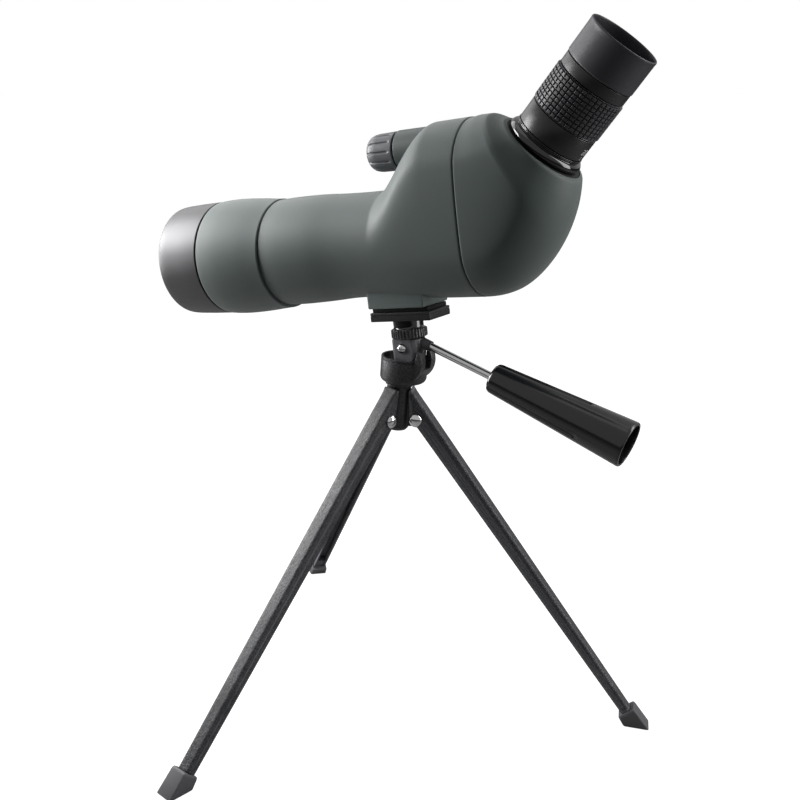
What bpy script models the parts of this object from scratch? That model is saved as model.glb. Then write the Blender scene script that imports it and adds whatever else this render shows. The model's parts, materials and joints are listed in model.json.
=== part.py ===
"""Angled zoom spotting scope on a small three-legged table tripod.

Dimensions are in millimetres and objects are scaled to metres. +Z is up, the ground is at
Z = 0 and the origin is under the middle of the whole object's box. The scope looks
towards -X and the eyepiece end is towards +X.
"""
import math
from collections import namedtuple

import bmesh
import bpy
from mathutils import Vector

for old_object in list(bpy.data.objects):
    bpy.data.objects.remove(old_object, do_unlink=True)

# ---------------------------------------------------------------- shared dimensions
MM = 0.001
GAP = 0.3                      # clearance between neighbouring pieces
TOUCH_GAP = 0.05               # clearance between faces that rest on each other

# where the assemblies stand
STAND_X, STAND_Y = 0.335, 27.994  # pan axis
HEAD_X = 2.0                   # the head casting sits this far off the pan axis
PIVOT_X, PIVOT_Z = 4.0, 240.0  # tilt axis
TILT = 11.5                    # nose-down angle of the scope, degrees
AXIS_H = 63.3                  # optical axis above the tilt axis
EYE_X, EYE_H = 93.07, 39.67    # base point of the eyepiece axis, from the optical axis
EYE_BEND = 45.0                # eyepiece angle above the optical axis
KNOB_Y, KNOB_H = 18.0, 56.6    # focus shaft, from the optical axis
RAIL_Y, RAIL_H = -21.0, -6.0   # focus rail, from the optical axis
WHEEL_X = 1.9                  # stud and lock wheel
BLOCK_X = 0.8                  # middle of the tilt block
HANDLE_X, HANDLE_H = 13.6, 0.9
HANDLE_DROP = 25.75            # handle angle below the plate
LEG_AZIMUTHS = (258.9, 18.9, 138.9)  # leg directions, degrees
LEG_SPLAY = 39.3               # leg angle from vertical
LEG_R, LEG_Z = 12.5, 193.5     # leg pivot radius and height

# ---------------------------------------------------------------- finishes
Finish = namedtuple("Finish", "color roughness metallic")
GREEN = Finish(color=(0.075, 0.095, 0.085), roughness=0.62, metallic=0.0)
BLACK = Finish(color=(0.02, 0.02, 0.022), roughness=0.45, metallic=0.0)
GLOSS = Finish(color=(0.015, 0.015, 0.016), roughness=0.18, metallic=0.0)
RUBBER = Finish(color=(0.03, 0.03, 0.032), roughness=0.8, metallic=0.0)
PAINT = Finish(color=(0.035, 0.037, 0.04), roughness=0.5, metallic=0.3)
CHROME = Finish(color=(0.75, 0.75, 0.76), roughness=0.12, metallic=1.0)
STEEL = Finish(color=(0.55, 0.55, 0.56), roughness=0.3, metallic=1.0)
BRASS = Finish(color=(0.72, 0.55, 0.28), roughness=0.3, metallic=1.0)
ANODISED = Finish(color=(0.05, 0.05, 0.055), roughness=0.25, metallic=0.9)
GLASS = Finish(color=(0.55, 0.65, 0.62), roughness=0.03, metallic=0.0)
CASTING = Finish(color=(0.03, 0.032, 0.034), roughness=0.4, metallic=0.2)
HOUSING_GREY = Finish(color=(0.09, 0.11, 0.115), roughness=0.5, metallic=0.0)
KNOB_GREY = Finish(color=(0.06, 0.062, 0.066), roughness=0.55, metallic=0.0)


def make_material(name, finish):
    material = bpy.data.materials.new(name)
    material.use_nodes = True
    shader = material.node_tree.nodes["Principled BSDF"]
    rgba = (*finish.color, 1.0)
    shader.inputs["Base Color"].default_value = rgba
    shader.inputs["Roughness"].default_value = finish.roughness
    shader.inputs["Metallic"].default_value = finish.metallic
    material.diffuse_color = rgba
    return material


# ---------------------------------------------------------------- objects
def add_object(name, mesh, parent, place, turn):
    ob = bpy.data.objects.new(name, mesh)
    bpy.context.scene.collection.objects.link(ob)
    ob.parent = parent
    ob.location = [v * MM for v in place]
    ob.rotation_euler = [math.radians(v) for v in turn]
    return ob


def frame(name, parent=None, place=(0, 0, 0), turn=(0, 0, 0)):
    """Empty that carries a local coordinate frame; turn is in degrees."""
    return add_object(name, None, parent, place, turn)


def mesh_object(name, bm, parent, place=(0, 0, 0), turn=(0, 0, 0), sharp_angle=35.0):
    """Turns a bmesh in millimetres into a smooth-shaded object."""
    bmesh.ops.remove_doubles(bm, verts=bm.verts, dist=1e-5)
    bmesh.ops.recalc_face_normals(bm, faces=bm.faces)
    bmesh.ops.scale(bm, vec=(MM, MM, MM), verts=bm.verts)
    mesh = bpy.data.meshes.new(name)
    bm.to_mesh(mesh)
    bm.free()
    mesh.shade_smooth()
    mesh.set_sharp_from_angle(angle=math.radians(sharp_angle))
    return add_object(name, mesh, parent, place, turn)


def part(name, bm, finish, parent, sharp_angle=35.0):
    """Visible piece with its own material."""
    ob = mesh_object(name, bm, parent, sharp_angle=sharp_angle)
    ob.data.materials.append(make_material(name + "_finish", finish))
    return ob


def helper(name, bm, parent, place=(0, 0, 0), turn=(0, 0, 0)):
    """Hidden shape used by boolean modifiers."""
    ob = mesh_object(name, bm, parent, place, turn)
    ob.hide_render = True
    ob.display_type = "WIRE"
    return ob


def boolean(target, other, operation="DIFFERENCE"):
    modifier = target.modifiers.new(operation.lower(), "BOOLEAN")
    modifier.operation = operation
    modifier.solver = "EXACT"
    modifier.object = other


def cut(target, name, bm, parent, place=(0, 0, 0), turn=(0, 0, 0)):
    boolean(target, helper(name, bm, parent, place, turn))


def join(target, name, bm, parent):
    boolean(target, helper(name, bm, parent), "UNION")


# ---------------------------------------------------------------- shapes
# Turned profiles are lists of (radius, height along the frame's Z).
def turned(profile, steps, closed):
    bm = bmesh.new()
    verts = [bm.verts.new((radius, 0, height)) for radius, height in profile]
    edges = [bm.edges.new(pair) for pair in zip(verts, verts[1:])]
    if closed:
        edges.append(bm.edges.new((verts[-1], verts[0])))
    bmesh.ops.spin(bm, geom=verts + edges, cent=(0, 0, 0), axis=(0, 0, 1),
                   angle=2 * math.pi, steps=steps, use_merge=True)
    bmesh.ops.remove_doubles(bm, verts=bm.verts, dist=1e-4)
    bmesh.ops.dissolve_degenerate(bm, dist=1e-5, edges=bm.edges)
    return bm


def turned_solid(profile, steps):
    """Solid whose profile starts and ends on the axis."""
    return turned(profile, steps, closed=False)


def turned_ring(profile, steps=32):
    """Ring whose section is the closed profile."""
    return turned(profile, steps, closed=True)


def rod(radius, low, high, steps):
    return turned_solid([(0, low), (radius, low), (radius, high), (0, high)], steps)


def ring(inner, outer, low, high, steps):
    return turned_ring([(inner, low), (outer, low), (outer, high), (inner, high)], steps)


def lens(radius, low, edge, low_bulge, high_bulge, steps):
    """Lens with its edge from low to low + edge; a negative bulge is hollow."""
    high = low + edge
    points = [(0, low - low_bulge)]
    points += [(radius * k, low - low_bulge * (1 - k * k)) for k in (0.55, 1.0)]
    points += [(radius * k, high + high_bulge * (1 - k * k)) for k in (1.0, 0.55)]
    points += [(0, high + high_bulge)]
    return turned_solid(points, steps)


def notch_rim(bm, steps, every, depth, beyond, low=-math.inf, high=math.inf):
    """Draws in every so many spin steps of the rim beyond a radius."""
    for v in bm.verts:
        radius = math.hypot(v.co.x, v.co.y)
        step = round(math.degrees(math.atan2(v.co.y, v.co.x)) / (360 / steps))
        if radius > beyond and step % every == 0 and low < v.co.z < high:
            v.co.x *= (radius - depth) / radius
            v.co.y *= (radius - depth) / radius


def centred(middle, size):
    return middle - size / 2, middle + size / 2


def block(x, y, z, bevel=0.0):
    """Box from (low, high) pairs, with bevelled edges."""
    bm = bmesh.new()
    bmesh.ops.create_cube(bm, size=1.0)
    bmesh.ops.scale(bm, vec=[high - low for low, high in (x, y, z)], verts=bm.verts)
    bmesh.ops.translate(bm, vec=[(low + high) / 2 for low, high in (x, y, z)],
                        verts=bm.verts)
    if bevel:
        bmesh.ops.bevel(bm, geom=list(bm.edges), offset=bevel, segments=1, profile=0.5,
                        affect="EDGES")
    return bm


def slab(outline, half_width):
    """Outline of (x, z) points, extruded along Y to both sides of Y = 0."""
    bm = bmesh.new()
    face = bm.faces.new([bm.verts.new((x, -half_width, z)) for x, z in outline])
    extruded = bmesh.ops.extrude_face_region(bm, geom=[face])["geom"]
    moved = [item for item in extruded if isinstance(item, bmesh.types.BMVert)]
    bmesh.ops.translate(bm, vec=(0, 2 * half_width, 0), verts=moved)
    return bm


def arc(x, z, radius, start, end, steps):
    angles = [math.radians(start + (end - start) * i / steps) for i in range(steps + 1)]
    return [(x + radius * math.cos(a), z + radius * math.sin(a)) for a in angles]


def bridge(bm, sections, closed):
    """Joins a run of sections with quads and returns their vertex loops."""
    loops = [[bm.verts.new(point) for point in section] for section in sections]
    following = loops[1:] + (loops[:1] if closed else [])
    for near, far in zip(loops, following):
        for i in range(len(near)):
            j = (i + 1) % len(near)
            bm.faces.new((near[i], near[j], far[j], far[i]))
    return loops


def shell(outer, inner):
    """Closed shell between an outer and an inner run of sections."""
    bm = bmesh.new()
    bridge(bm, outer + inner[::-1], closed=True)
    return bm


def smooth(t):
    t = min(1.0, max(0.0, t))
    return t * t * (3 - 2 * t)


def knot_slope(table, i):
    x0, v0 = table[max(i - 1, 0)]
    x1, v1 = table[min(i + 1, len(table) - 1)]
    return (v1 - v0) / (x1 - x0)


def curve_at(table, x):
    """Smooth cubic curve through (x, value) points, level beyond the ends."""
    if x <= table[0][0]:
        return table[0][1]
    for i, ((x0, v0), (x1, v1)) in enumerate(zip(table, table[1:])):
        if x <= x1:
            span = x1 - x0
            t = (x - x0) / span
            t2, t3 = t * t, t * t * t
            return ((2 * t3 - 3 * t2 + 1) * v0
                    + (t3 - 2 * t2 + t) * knot_slope(table, i) * span
                    + (-2 * t3 + 3 * t2) * v1
                    + (t3 - t2) * knot_slope(table, i + 1) * span)
    return table[-1][1]


# ---------------------------------------------------------------- body shape
# Stations run along the optical axis and heights are taken from it.
SEAM_X = 59.9
HUMP_X0, HUMP_X1 = -6.0, 38.0  # where the prism hump rises
HUMP_TOP, HUMP_BASE = 69.9, 33.6
SKIN = 2.0                     # rubber armour
SKIN_GAP = 0.5                 # armour to casing
CASE = 2.0                     # rigid casing
CASE_OUTER = SKIN + SKIN_GAP   # insets of the casing's faces from the armour's outside
CASE_INNER = CASE_OUTER + CASE
EDGE_INSET = 0.9               # the armour's free edges are drawn in
OUTER_POINTS, INNER_POINTS = 28, 24  # points around an armour or casing section
HINGE_X, HINGE_H = 60.3, 89.5  # hinge point of the rear housing's sections
BEND = 44.5                    # angle of the last section
REAR_HALF_WIDTH = 34.0

HALF_WIDTHS = [  # station, half width
    (-104, 34.1), (-84, 34.15), (-70, 34.4), (-50, 33.85),
    (-30, 32.65), (-12, 32.5), (20, 33.5), (60, 34.0)]
BOTTOMS = [  # station, height of the underside
    (-104, -33.9), (-84, -33.6), (-70, -33.5), (-50, -32.5),
    (-30, -31.1), (-12, -31.2), (25, -33.3), (60, -34.1)]
REAR_REACH = [  # section angle, distance from the hinge point to the underside
    (0, 123.6), (4.7, 123.2), (9.4, 121.7), (13.8, 118.7), (19.4, 113.5),
    (25.9, 106.7), (32.5, 99.5), (38.5, 93.0), (44.5, 86.2)]


def body_top(x):
    rise = smooth((x - HUMP_X0) / (HUMP_X1 - HUMP_X0))
    return curve_at(HALF_WIDTHS, x) + (HUMP_TOP - HUMP_BASE) * rise


def top_inset(x, inset):
    """Height of the top surface moved inwards by the inset."""
    if inset <= 0:
        return body_top(x)
    shifts = [step * inset / 8.0 for step in range(-8, 9)]
    return min(body_top(x + shift) - math.sqrt(max(0.0, inset * inset - shift ** 2))
               for shift in shifts)


def rounded_section(half_width, low, high, count):
    """Upright rounded section as (y, height) points."""
    points = []
    straight = high - low - 2 * half_width
    for i in range(count):
        angle = 2 * math.pi * (i + 0.5) / count - math.pi / 2
        s = math.sin(angle)
        height = low + half_width + half_width * s + straight * smooth((s + 0.34) / 0.68)
        points.append((half_width * math.cos(angle), height))
    return points


def main_section(x, inset, count):
    inset -= 2.2 * smooth((-86.0 - x) / 14.0)  # the casing widens around the objective
    half_width = curve_at(HALF_WIDTHS, x) - inset
    low = curve_at(BOTTOMS, x) + inset
    high = max(top_inset(x, inset), low + 2 * half_width)
    return [Vector((x, y, h)) for y, h in rounded_section(half_width, low, high, count)]


def rear_section(degrees, inset, count):
    """Section swung about the hinge point, which lies above it."""
    angle = math.radians(degrees)
    end_ease = smooth((degrees - 33) / 11.5)
    far = curve_at(REAR_REACH, degrees) - inset
    near = (19.6 / math.cos(angle) - 0.8 * smooth(degrees / 20) * (1 - end_ease)
            + 4.3 * end_ease + inset)
    half_width = (REAR_HALF_WIDTH - 2.4 * (degrees / BEND) ** 2
                  - 4.6 * smooth((degrees - 29) / 15.5) - inset)
    return [Vector((HINGE_X - h * math.sin(angle), y, HINGE_H + h * math.cos(angle)))
            for y, h in rounded_section(half_width, -far, -near, count)]


def main_run(stations, inset, count):
    return [main_section(x, inset, count) for x in stations]


def rear_run(angles, inset, count):
    return [rear_section(angle, inset, count) for angle in angles]


# ---------------------------------------------------------------- frames
STAND = frame("stand_frame", None, (STAND_X, STAND_Y, 0))
SCOPE = frame("scope_frame", STAND, (PIVOT_X, 0, PIVOT_Z), (0, -TILT, 0))
AXIS = frame("optical_axis", SCOPE, (0, 0, AXIS_H))                # +X towards the eye
BORE = frame("objective_axis", AXIS, (0, 0, 0), (0, 90, 0))        # +Z towards the eye
EYE = frame("eyepiece_axis", AXIS, (EYE_X, 0, EYE_H), (0, 90 - EYE_BEND, 0))
KNOB = frame("focus_axis", AXIS, (0, KNOB_Y, KNOB_H), (0, 90, 0))
KNOB_SLOT = frame("focus_slot_frame", AXIS, (0, KNOB_Y, KNOB_H))
RAIL = frame("rail_axis", AXIS, (0, RAIL_Y, RAIL_H), (0, 90, 0))
CARRIAGE_ARM = frame("carriage_arm_frame", AXIS,                   # +Z towards the shaft
                     turn=(-math.degrees(math.atan2(KNOB_Y, KNOB_H)), 0, 0))
WHEEL = frame("stud_axis", SCOPE, (WHEEL_X, 0, 0))
HANDLE = frame("handle_axis", SCOPE, (HANDLE_X, 0, HANDLE_H), (0, 90 + HANDLE_DROP, 0))
BLOCK = frame("block_frame", SCOPE, (BLOCK_X, 0, 0))
TILT_PIN = frame("tilt_pin_axis", SCOPE, turn=(90, 0, 0))          # +Z towards -Y
TRIPOD = frame("tripod_frame", STAND)
HEAD = frame("head_frame", TRIPOD, (HEAD_X, 0, 0))
PAN_PIN = frame("pan_pin_axis", TRIPOD, (PIVOT_X, 0, PIVOT_Z), (90, 0, 0))

# ---------------------------------------------------------------- objective end
LENS_R = 30.0
RING_FRONT, RING_BACK = -164.5, -131.8
FRONT_RIM_R = 37.3             # where the ring and the front armour meet
FRONT_X0, FRONT_X1 = -131.2, -82.35
FRONT_RADII = [  # station, radius of the front armour
    (FRONT_X0, FRONT_RIM_R), (-126, 37.7), (-118, 37.9), (-109, 37.6),
    (-99, 36.9), (-90, 36.0), (-83.6, 35.4)]


def build_objective():
    part("front_ring", turned_ring([
        (32.6, RING_BACK), (FRONT_RIM_R, RING_BACK), (37.0, -146), (36.2, -162.4),
        (34.8, RING_FRONT), (33.2, RING_FRONT), (32.4, -163.0), (31.9, -139.0)], 36),
        ANODISED, BORE)
    part("objective_cell", ring(30.3, 31.25, -139.0, -117.0, 28), BLACK, BORE)
    part("objective_front_lens", lens(LENS_R, -133.5, 4.0, 2.6, 2.4, 28), GLASS, BORE)
    part("objective_rear_lens", lens(LENS_R, -129.1, 6.5, -2.4, 0.8, 28), GLASS, BORE)
    part("objective_retainer", ring(27.6, LENS_R, -136.6, -133.9, 28), BLACK, BORE)

    outside = [(curve_at(FRONT_RADII, x), x) for x in (FRONT_X0, -123, -112, -100, -90, -83.4)]
    part("front_armour", turned_ring(
        [(34.9, FRONT_X0)] + outside
        + [(34.9, FRONT_X1), (32.9, FRONT_X1), (34.5, -104)], 36), GREEN, BORE)


# ---------------------------------------------------------------- armour and casings
HUMP_STATIONS = [-50, -20, -8, 0, 6, 12, 18, 24, 30, 38]
SEAL_STATIONS = [59.3, 60.2]


def build_main_housing():
    """Returns the armour and the casing."""
    stations = [-82, -79.5] + HUMP_STATIONS + [SEAM_X]
    outside = (main_run(stations[:1], EDGE_INSET, OUTER_POINTS)
               + main_run(stations[1:], 0.0, OUTER_POINTS))
    armour = part("body_armour", shell(outside, main_run(stations, SKIN, OUTER_POINTS)),
                  GREEN, AXIS)

    stations = [-128.0, -102, -86, -79.5] + HUMP_STATIONS + [59.0]
    casing = part("main_casing", shell(main_run(stations, CASE_OUTER, INNER_POINTS),
                                       main_run(stations, CASE_INNER, INNER_POINTS)),
                  BLACK, AXIS)
    part("housing_seal", shell(main_run(SEAL_STATIONS, 2.6, INNER_POINTS),
                               main_run(SEAL_STATIONS, 3.9, INNER_POINTS)), RUBBER, AXIS)
    return armour, casing


def build_rear_housing():
    angles = [0, 8, 16, 24, 32, 38, 41.5, 43.4, BEND]
    outside = (rear_run(angles[:-1], 0.0, OUTER_POINTS)
               + rear_run(angles[-1:], EDGE_INSET, OUTER_POINTS))
    part("rear_armour", shell(outside, rear_run(angles, SKIN, OUTER_POINTS)), GREEN, AXIS)

    # the casing has a thicker lip at its eyepiece end
    angles = [0.6, 8, 16, 24, 32, 38, 41.5, BEND]
    inside = (rear_run(angles[:-1], CASE_INNER, INNER_POINTS)
              + rear_run([BEND - 2.2, BEND], 7.0, INNER_POINTS))
    part("rear_casing", shell(rear_run(angles, CASE_OUTER, INNER_POINTS), inside),
         BLACK, AXIS)


# ---------------------------------------------------------------- focus drive
FOCUS_R = 12.4                 # focus housing
KNOB_R = 12.0
KNOB_X0, KNOB_X1 = -22.0, -1.3
KNOB_FLOOR = KNOB_X0 + 6.0     # end of the knob's bore
KNOB_RIBS = 12
CARRIAGE_X = (28.0, 38.0)      # lens cell, nut and lug
ARM_X = (30, 36)               # arms between them


def build_focus_housing(armour, casing):
    housing = part("focus_housing", turned_solid([
        (0, 49.5), (6.5, 48.3), (10.8, 44.8), (FOCUS_R, 39.5), (FOCUS_R, 0.0), (3.2, 0.0),
        (3.2, 3.0), (10.4, 3.0), (10.4, 40.0), (0, 46.5)], 24), HOUSING_GREY, KNOB)
    pocket_r = FOCUS_R + 0.4
    pocket = helper("focus_pocket", turned_solid([
        (0, 50.2), (6.7, 49.0), (11.2, 45.2), (pocket_r, 39.6), (pocket_r, -3.0),
        (0, -3.0)], 24), KNOB)
    boolean(armour, pocket)
    boolean(casing, pocket)
    # slot for the arm of the focusing carriage
    cut(housing, "focus_arm_slot", block((25, 42), (-8.8, 2.4), (-16, -5)), KNOB_SLOT)


def build_focus_knob():
    """Rounded cap with flat ribs, on its shaft."""
    steps = KNOB_RIBS * 3
    cap = turned_solid([
        (0, KNOB_X0), (6.5, KNOB_X0), (10.2, KNOB_X0 + 1.6), (KNOB_R - 0.5, KNOB_FLOOR),
        (KNOB_R, KNOB_X1 - 1.2), (KNOB_R - 0.5, KNOB_X1), (2.9, KNOB_X1),
        (2.9, KNOB_FLOOR), (0, KNOB_FLOOR)], steps)
    notch_rim(cap, steps, every=3, depth=0.7, beyond=9.0, low=KNOB_X0 + 4, high=KNOB_X1 - 1)
    part("focus_knob", cap, KNOB_GREY, KNOB)
    part("focus_shaft", rod(2.5, KNOB_FLOOR + 0.4, 39.6, 12), STEEL, KNOB)


def build_focus_carriage():
    """Lens cell on the axis, with a nut on the shaft and a lug on the rail."""
    carriage = part("focus_carriage", ring(16.2, 18.6, *CARRIAGE_X, 24), BLACK, BORE)
    shaft_distance = math.hypot(KNOB_Y, KNOB_H)
    join(carriage, "carriage_nut", ring(2.85, 5.4, *CARRIAGE_X, 12), KNOB)
    join(carriage, "carriage_arm", block(ARM_X, (-2.2, 2.2), (17.4, shaft_distance - 4.4)),
         CARRIAGE_ARM)
    join(carriage, "carriage_lug", ring(1.9, 4.0, *CARRIAGE_X, 12), RAIL)
    join(carriage, "carriage_lug_arm", block(ARM_X, (-19.0, -16.9), (-7.4, -4.6)), AXIS)
    part("focus_lens", lens(15.8, 31.0, 3.0, 1.2, -0.6, 20), GLASS, BORE)
    part("focus_rail", rod(1.5, 12.0, 54.0, 12), STEEL, RAIL)


def build_baffle():
    part("light_baffle", turned_ring([
        (20.0, -60.0), (27.5, -60.0), (27.5, -57.0), (21.5, -57.0)], 24), BLACK, BORE)


# ---------------------------------------------------------------- prisms
PRISM_HALF = 14.5              # half width of both prisms
BAY_HALF = PRISM_HALF + GAP
FRAME_HALF = BAY_HALF + 1.0
# side outlines as (station, height) from the optical axis
HALF_PENTA = [(62.5, -15.0), (82.0, -15.0), (94.0, -1.0), (84.6, 14.2), (62.5, 14.2)]
ROOF = [(64.0, 16.0), (85.2, 16.0), (97.2, -2.1), (105.0, 8.0), (103.0, 24.0),
        (88.0, 40.0), (74.0, 40.0)]
PRISM_FRAME = [(61.6, -16.6), (82.0, -16.6), (94.0, -2.5), (94.0, 20.0), (85.0, 33.0),
               (73.0, 35.0), (61.6, 20.0)]
PRISM_BAY = [(58, -15.3), (82.1, -15.3), (96.6, 0.0), (105.5, 8.0), (110, 20), (100, 60),
             (74.0, 60), (58, 30)]


def build_prisms():
    part("half_penta_prism", slab(HALF_PENTA, PRISM_HALF), GLASS, AXIS)
    part("roof_prism", slab(ROOF, PRISM_HALF), GLASS, AXIS)
    holder = part("prism_frame", slab(PRISM_FRAME, FRAME_HALF), STEEL, AXIS)
    cut(holder, "prism_frame_bay", slab(PRISM_BAY, BAY_HALF), AXIS)


# ---------------------------------------------------------------- eyepiece
SLEEVE_BORE = 19.3             # bore of the pieces around the tube
COLLAR_R = 23.6
COLLAR_BASE = 11.9
BARREL_R = 21.1
GRIP_R = 21.6
BAND_R = 20.9
NECK_R = 19.9                  # the eyecup slides on this
CUP_R = 21.2
CUP_BORE = NECK_R + 0.35


def lens_group(low):
    """Disc with a thicker rim."""
    return turned_solid([
        (0, low + 3), (13.0, low + 3), (13.0, low), (15.4, low), (15.4, low + 10),
        (13.0, low + 10), (13.0, low + 7), (0, low + 7)], 20)


def build_eyepiece_shell():
    part("eyepiece_collar", turned_ring([
        (SLEEVE_BORE, COLLAR_BASE), (COLLAR_R - 0.3, COLLAR_BASE),
        (COLLAR_R, COLLAR_BASE + 2.6), (COLLAR_R - 1.0, COLLAR_BASE + 4.5),
        (COLLAR_R - 2.8, COLLAR_BASE + 5.2), (20.2, COLLAR_BASE + 5.3), (20.2, 17.9),
        (21.4, 17.9), (21.4, 19.0), (SLEEVE_BORE, 19.0)]), GLOSS, EYE)
    part("eyepiece_tube", ring(17.4, 18.9, 6.0, 60.0, 28), BLACK, EYE)
    part("scale_barrel", ring(SLEEVE_BORE, BARREL_R, 19.4, 32.0, 32), BLACK, EYE)
    part("zoom_grip", turned_ring([
        (SLEEVE_BORE, 32.4), (GRIP_R - 1.0, 32.4), (GRIP_R, 33.0), (GRIP_R, 55.0),
        (GRIP_R - 1.0, 55.5), (SLEEVE_BORE, 55.5)], 40), RUBBER, EYE)
    part("eye_band", turned_ring([
        (SLEEVE_BORE, 55.9), (BAND_R, 55.9), (BAND_R, 62.4), (NECK_R, 62.4),
        (NECK_R, 72.8), (16.0, 72.8), (14.0, 70.5), (14.0, 69.4), (17.6, 69.4),
        (17.6, 60.3), (SLEEVE_BORE, 60.3)]), BLACK, EYE)
    part("eyecup", turned_ring([
        (CUP_R, 62.8), (CUP_R, 81.2), (CUP_R + 0.15, 83.4), (CUP_R - 0.6, 84.1),
        (CUP_BORE, 81.6), (CUP_BORE, 62.8)]), RUBBER, EYE)


def build_eyepiece_optics():
    part("eye_lens", lens(15.8, 64.4, 3.8, 0.4, 0.9, 20), GLASS, EYE)
    part("zoom_lens_group", lens_group(38.0), GLASS, EYE)
    part("field_lens_group", lens_group(15.0), GLASS, EYE)
    part("zoom_cam_sleeve", ring(15.75, 17.0, 12.0, 57.0, 24), BRASS, EYE)


# ---------------------------------------------------------------- foot, plate and lock wheel
FOOT_SIZE = (39.4, 31.7)
FOOT_X, FOOT_Z = 3.1, 26.1     # middle and underside
PLATE_SIZE = (42.3, 26.5, 5.7)
PLATE_X, PLATE_Z = 3.9, 17.7   # middle and underside
PLATE_TOP = PLATE_Z + PLATE_SIZE[2]
STUD_BORE = 3.5                # around the stud
WHEEL_TEETH = 18


def body_seat():
    """Body outside with clearance, in the scope frame."""
    rise = Vector((0, 0, AXIS_H))
    sections = [[point + rise for point in section]
                for section in main_run([-40, -20, 0, 20, 45], -GAP, OUTER_POINTS)]
    bm = bmesh.new()
    loops = bridge(bm, sections, closed=False)
    bm.faces.new(loops[0])
    bm.faces.new(loops[-1])
    return bm


def build_mounting_foot():
    foot = part("mounting_foot", block(
        centred(FOOT_X, FOOT_SIZE[0]), centred(0, FOOT_SIZE[1]), (FOOT_Z, 44.0), bevel=1.2),
        GREEN, SCOPE)
    cut(foot, "foot_seat", body_seat(), SCOPE)
    cut(foot, "insert_hole", rod(4.9, 20.0, 45.0, 20), WHEEL)
    part("foot_insert", ring(3.45, 4.6, FOOT_Z + 0.1, 29.6, 20), BRASS, WHEEL)


def build_camera_plate():
    length, width, _ = PLATE_SIZE
    plate = part("camera_plate", block(
        centred(PLATE_X, length), centred(0, width), (PLATE_Z, PLATE_TOP), bevel=1.0),
        BLACK, SCOPE)
    pad = part("plate_pad", block(
        centred(PLATE_X, length - 3.2), centred(0, width - 2.0),
        (PLATE_TOP + TOUCH_GAP, FOOT_Z - TOUCH_GAP)), RUBBER, SCOPE)
    hole = helper("stud_hole", rod(STUD_BORE, 4.0, 30.0, 16), WHEEL)
    boolean(plate, hole)
    boolean(pad, hole)


def build_lock_wheel():
    steps = WHEEL_TEETH * 2
    hub_top = PLATE_Z - TOUCH_GAP
    toothed = turned_ring([
        (STUD_BORE, 6.0), (11.4, 6.0), (11.4, 11.6), (9.6, 12.0), (9.6, hub_top),
        (STUD_BORE, hub_top)], steps)
    notch_rim(toothed, steps, every=2, depth=0.8, beyond=10.5)
    part("lock_wheel", toothed, CASTING, WHEEL, sharp_angle=25)
    part("camera_stud", turned_solid([
        (0, 4.7), (3.1, 4.7), (3.1, 28.2), (2.5, 28.8), (0, 28.8)], 16), STEEL, WHEEL)


# ---------------------------------------------------------------- tilt block and handle
ROD_R = 2.5                    # handle rod
PIN_BORE = 1.8                 # tilt screw hole


def build_tilt_block():
    tilt_block = part("tilt_block", turned_solid([
        (0, -10.2), (10.4, -10.2), (10.4, 5.0), (9.8, 5.7), (0, 5.7)], 28), CASTING, BLOCK)
    # round underside and flat flanks
    keep = slab(arc(0, 0, 10.2, 180, 360, 12)
                + [(12.5, 0), (12.5, 8), (-12.5, 8), (-12.5, 0)], 8.3)
    boolean(tilt_block, helper("block_keep", keep, SCOPE), "INTERSECT")
    join(tilt_block, "handle_boss", rod(3.3, -6.0, 3.2, 16), HANDLE)
    cut(tilt_block, "boss_trim", rod(11.75, 5.6, 9.0, 24), WHEEL)
    tongue_slot = [(-16, -14), (10.6, -14), (10.6, -6.5), *arc(0, 0, 3.75, 0, 160, 8),
                   (-16, -0.5)]
    cut(tilt_block, "tongue_slot", slab(tongue_slot, 2.8), SCOPE)
    cut(tilt_block, "tilt_pin_hole", rod(PIN_BORE, -15, 15, 16), TILT_PIN)
    cut(tilt_block, "rod_hole", rod(ROD_R + GAP, -3.8, 9.0, 16), HANDLE)
    cut(tilt_block, "stud_seat", rod(3.4, 4.4, 8.0, 16), WHEEL)


def build_tilt_screw():
    """Screw through the tilt block, with its domed head on the -Y side."""
    part("tilt_screw", turned_solid([
        (0, 10.6), (1.8, 10.3), (3.1, 8.6), (1.5, 8.6), (1.5, -8.6), (2.9, -8.6),
        (2.9, -10.2), (0, -10.4)], 12), CHROME, TILT_PIN)


def build_handle():
    part("handle_rod", turned_solid([
        (0, -3.4), (2.0, -3.4), (ROD_R, -2.9), (ROD_R, 60.0), (0, 60.0)], 16),
        CHROME, HANDLE)
    rod_bore = ROD_R + GAP
    grip = part("handle_grip", turned_ring([
        (rod_bore, 48.3), (8.3, 48.3), (9.4, 49.8), (14.15, 139.0), (13.7, 139.8),
        (12.3, 139.8), (7.6, 66.0), (6.6, 62.0), (rod_bore, 62.0)], 24), GLOSS, HANDLE)
    # three flutes that follow the flare of the grip
    for k in range(3):
        flute_frame = frame("flute_frame_%d" % k, HANDLE, turn=(0, 0, 120.0 * k + 60))
        cut(grip, "grip_flute_%d" % k, rod(2.4, 40.0, 112.0, 10), flute_frame,
            place=(7.95, 0, 0), turn=(0, 3.05, 0))


# ---------------------------------------------------------------- pan body
CUP_OUTER, CUP_INNER = 14.8, 13.5
CUP_RIM, CUP_FLOOR = PIVOT_Z - 6.5, PIVOT_Z - 11.6


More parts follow.
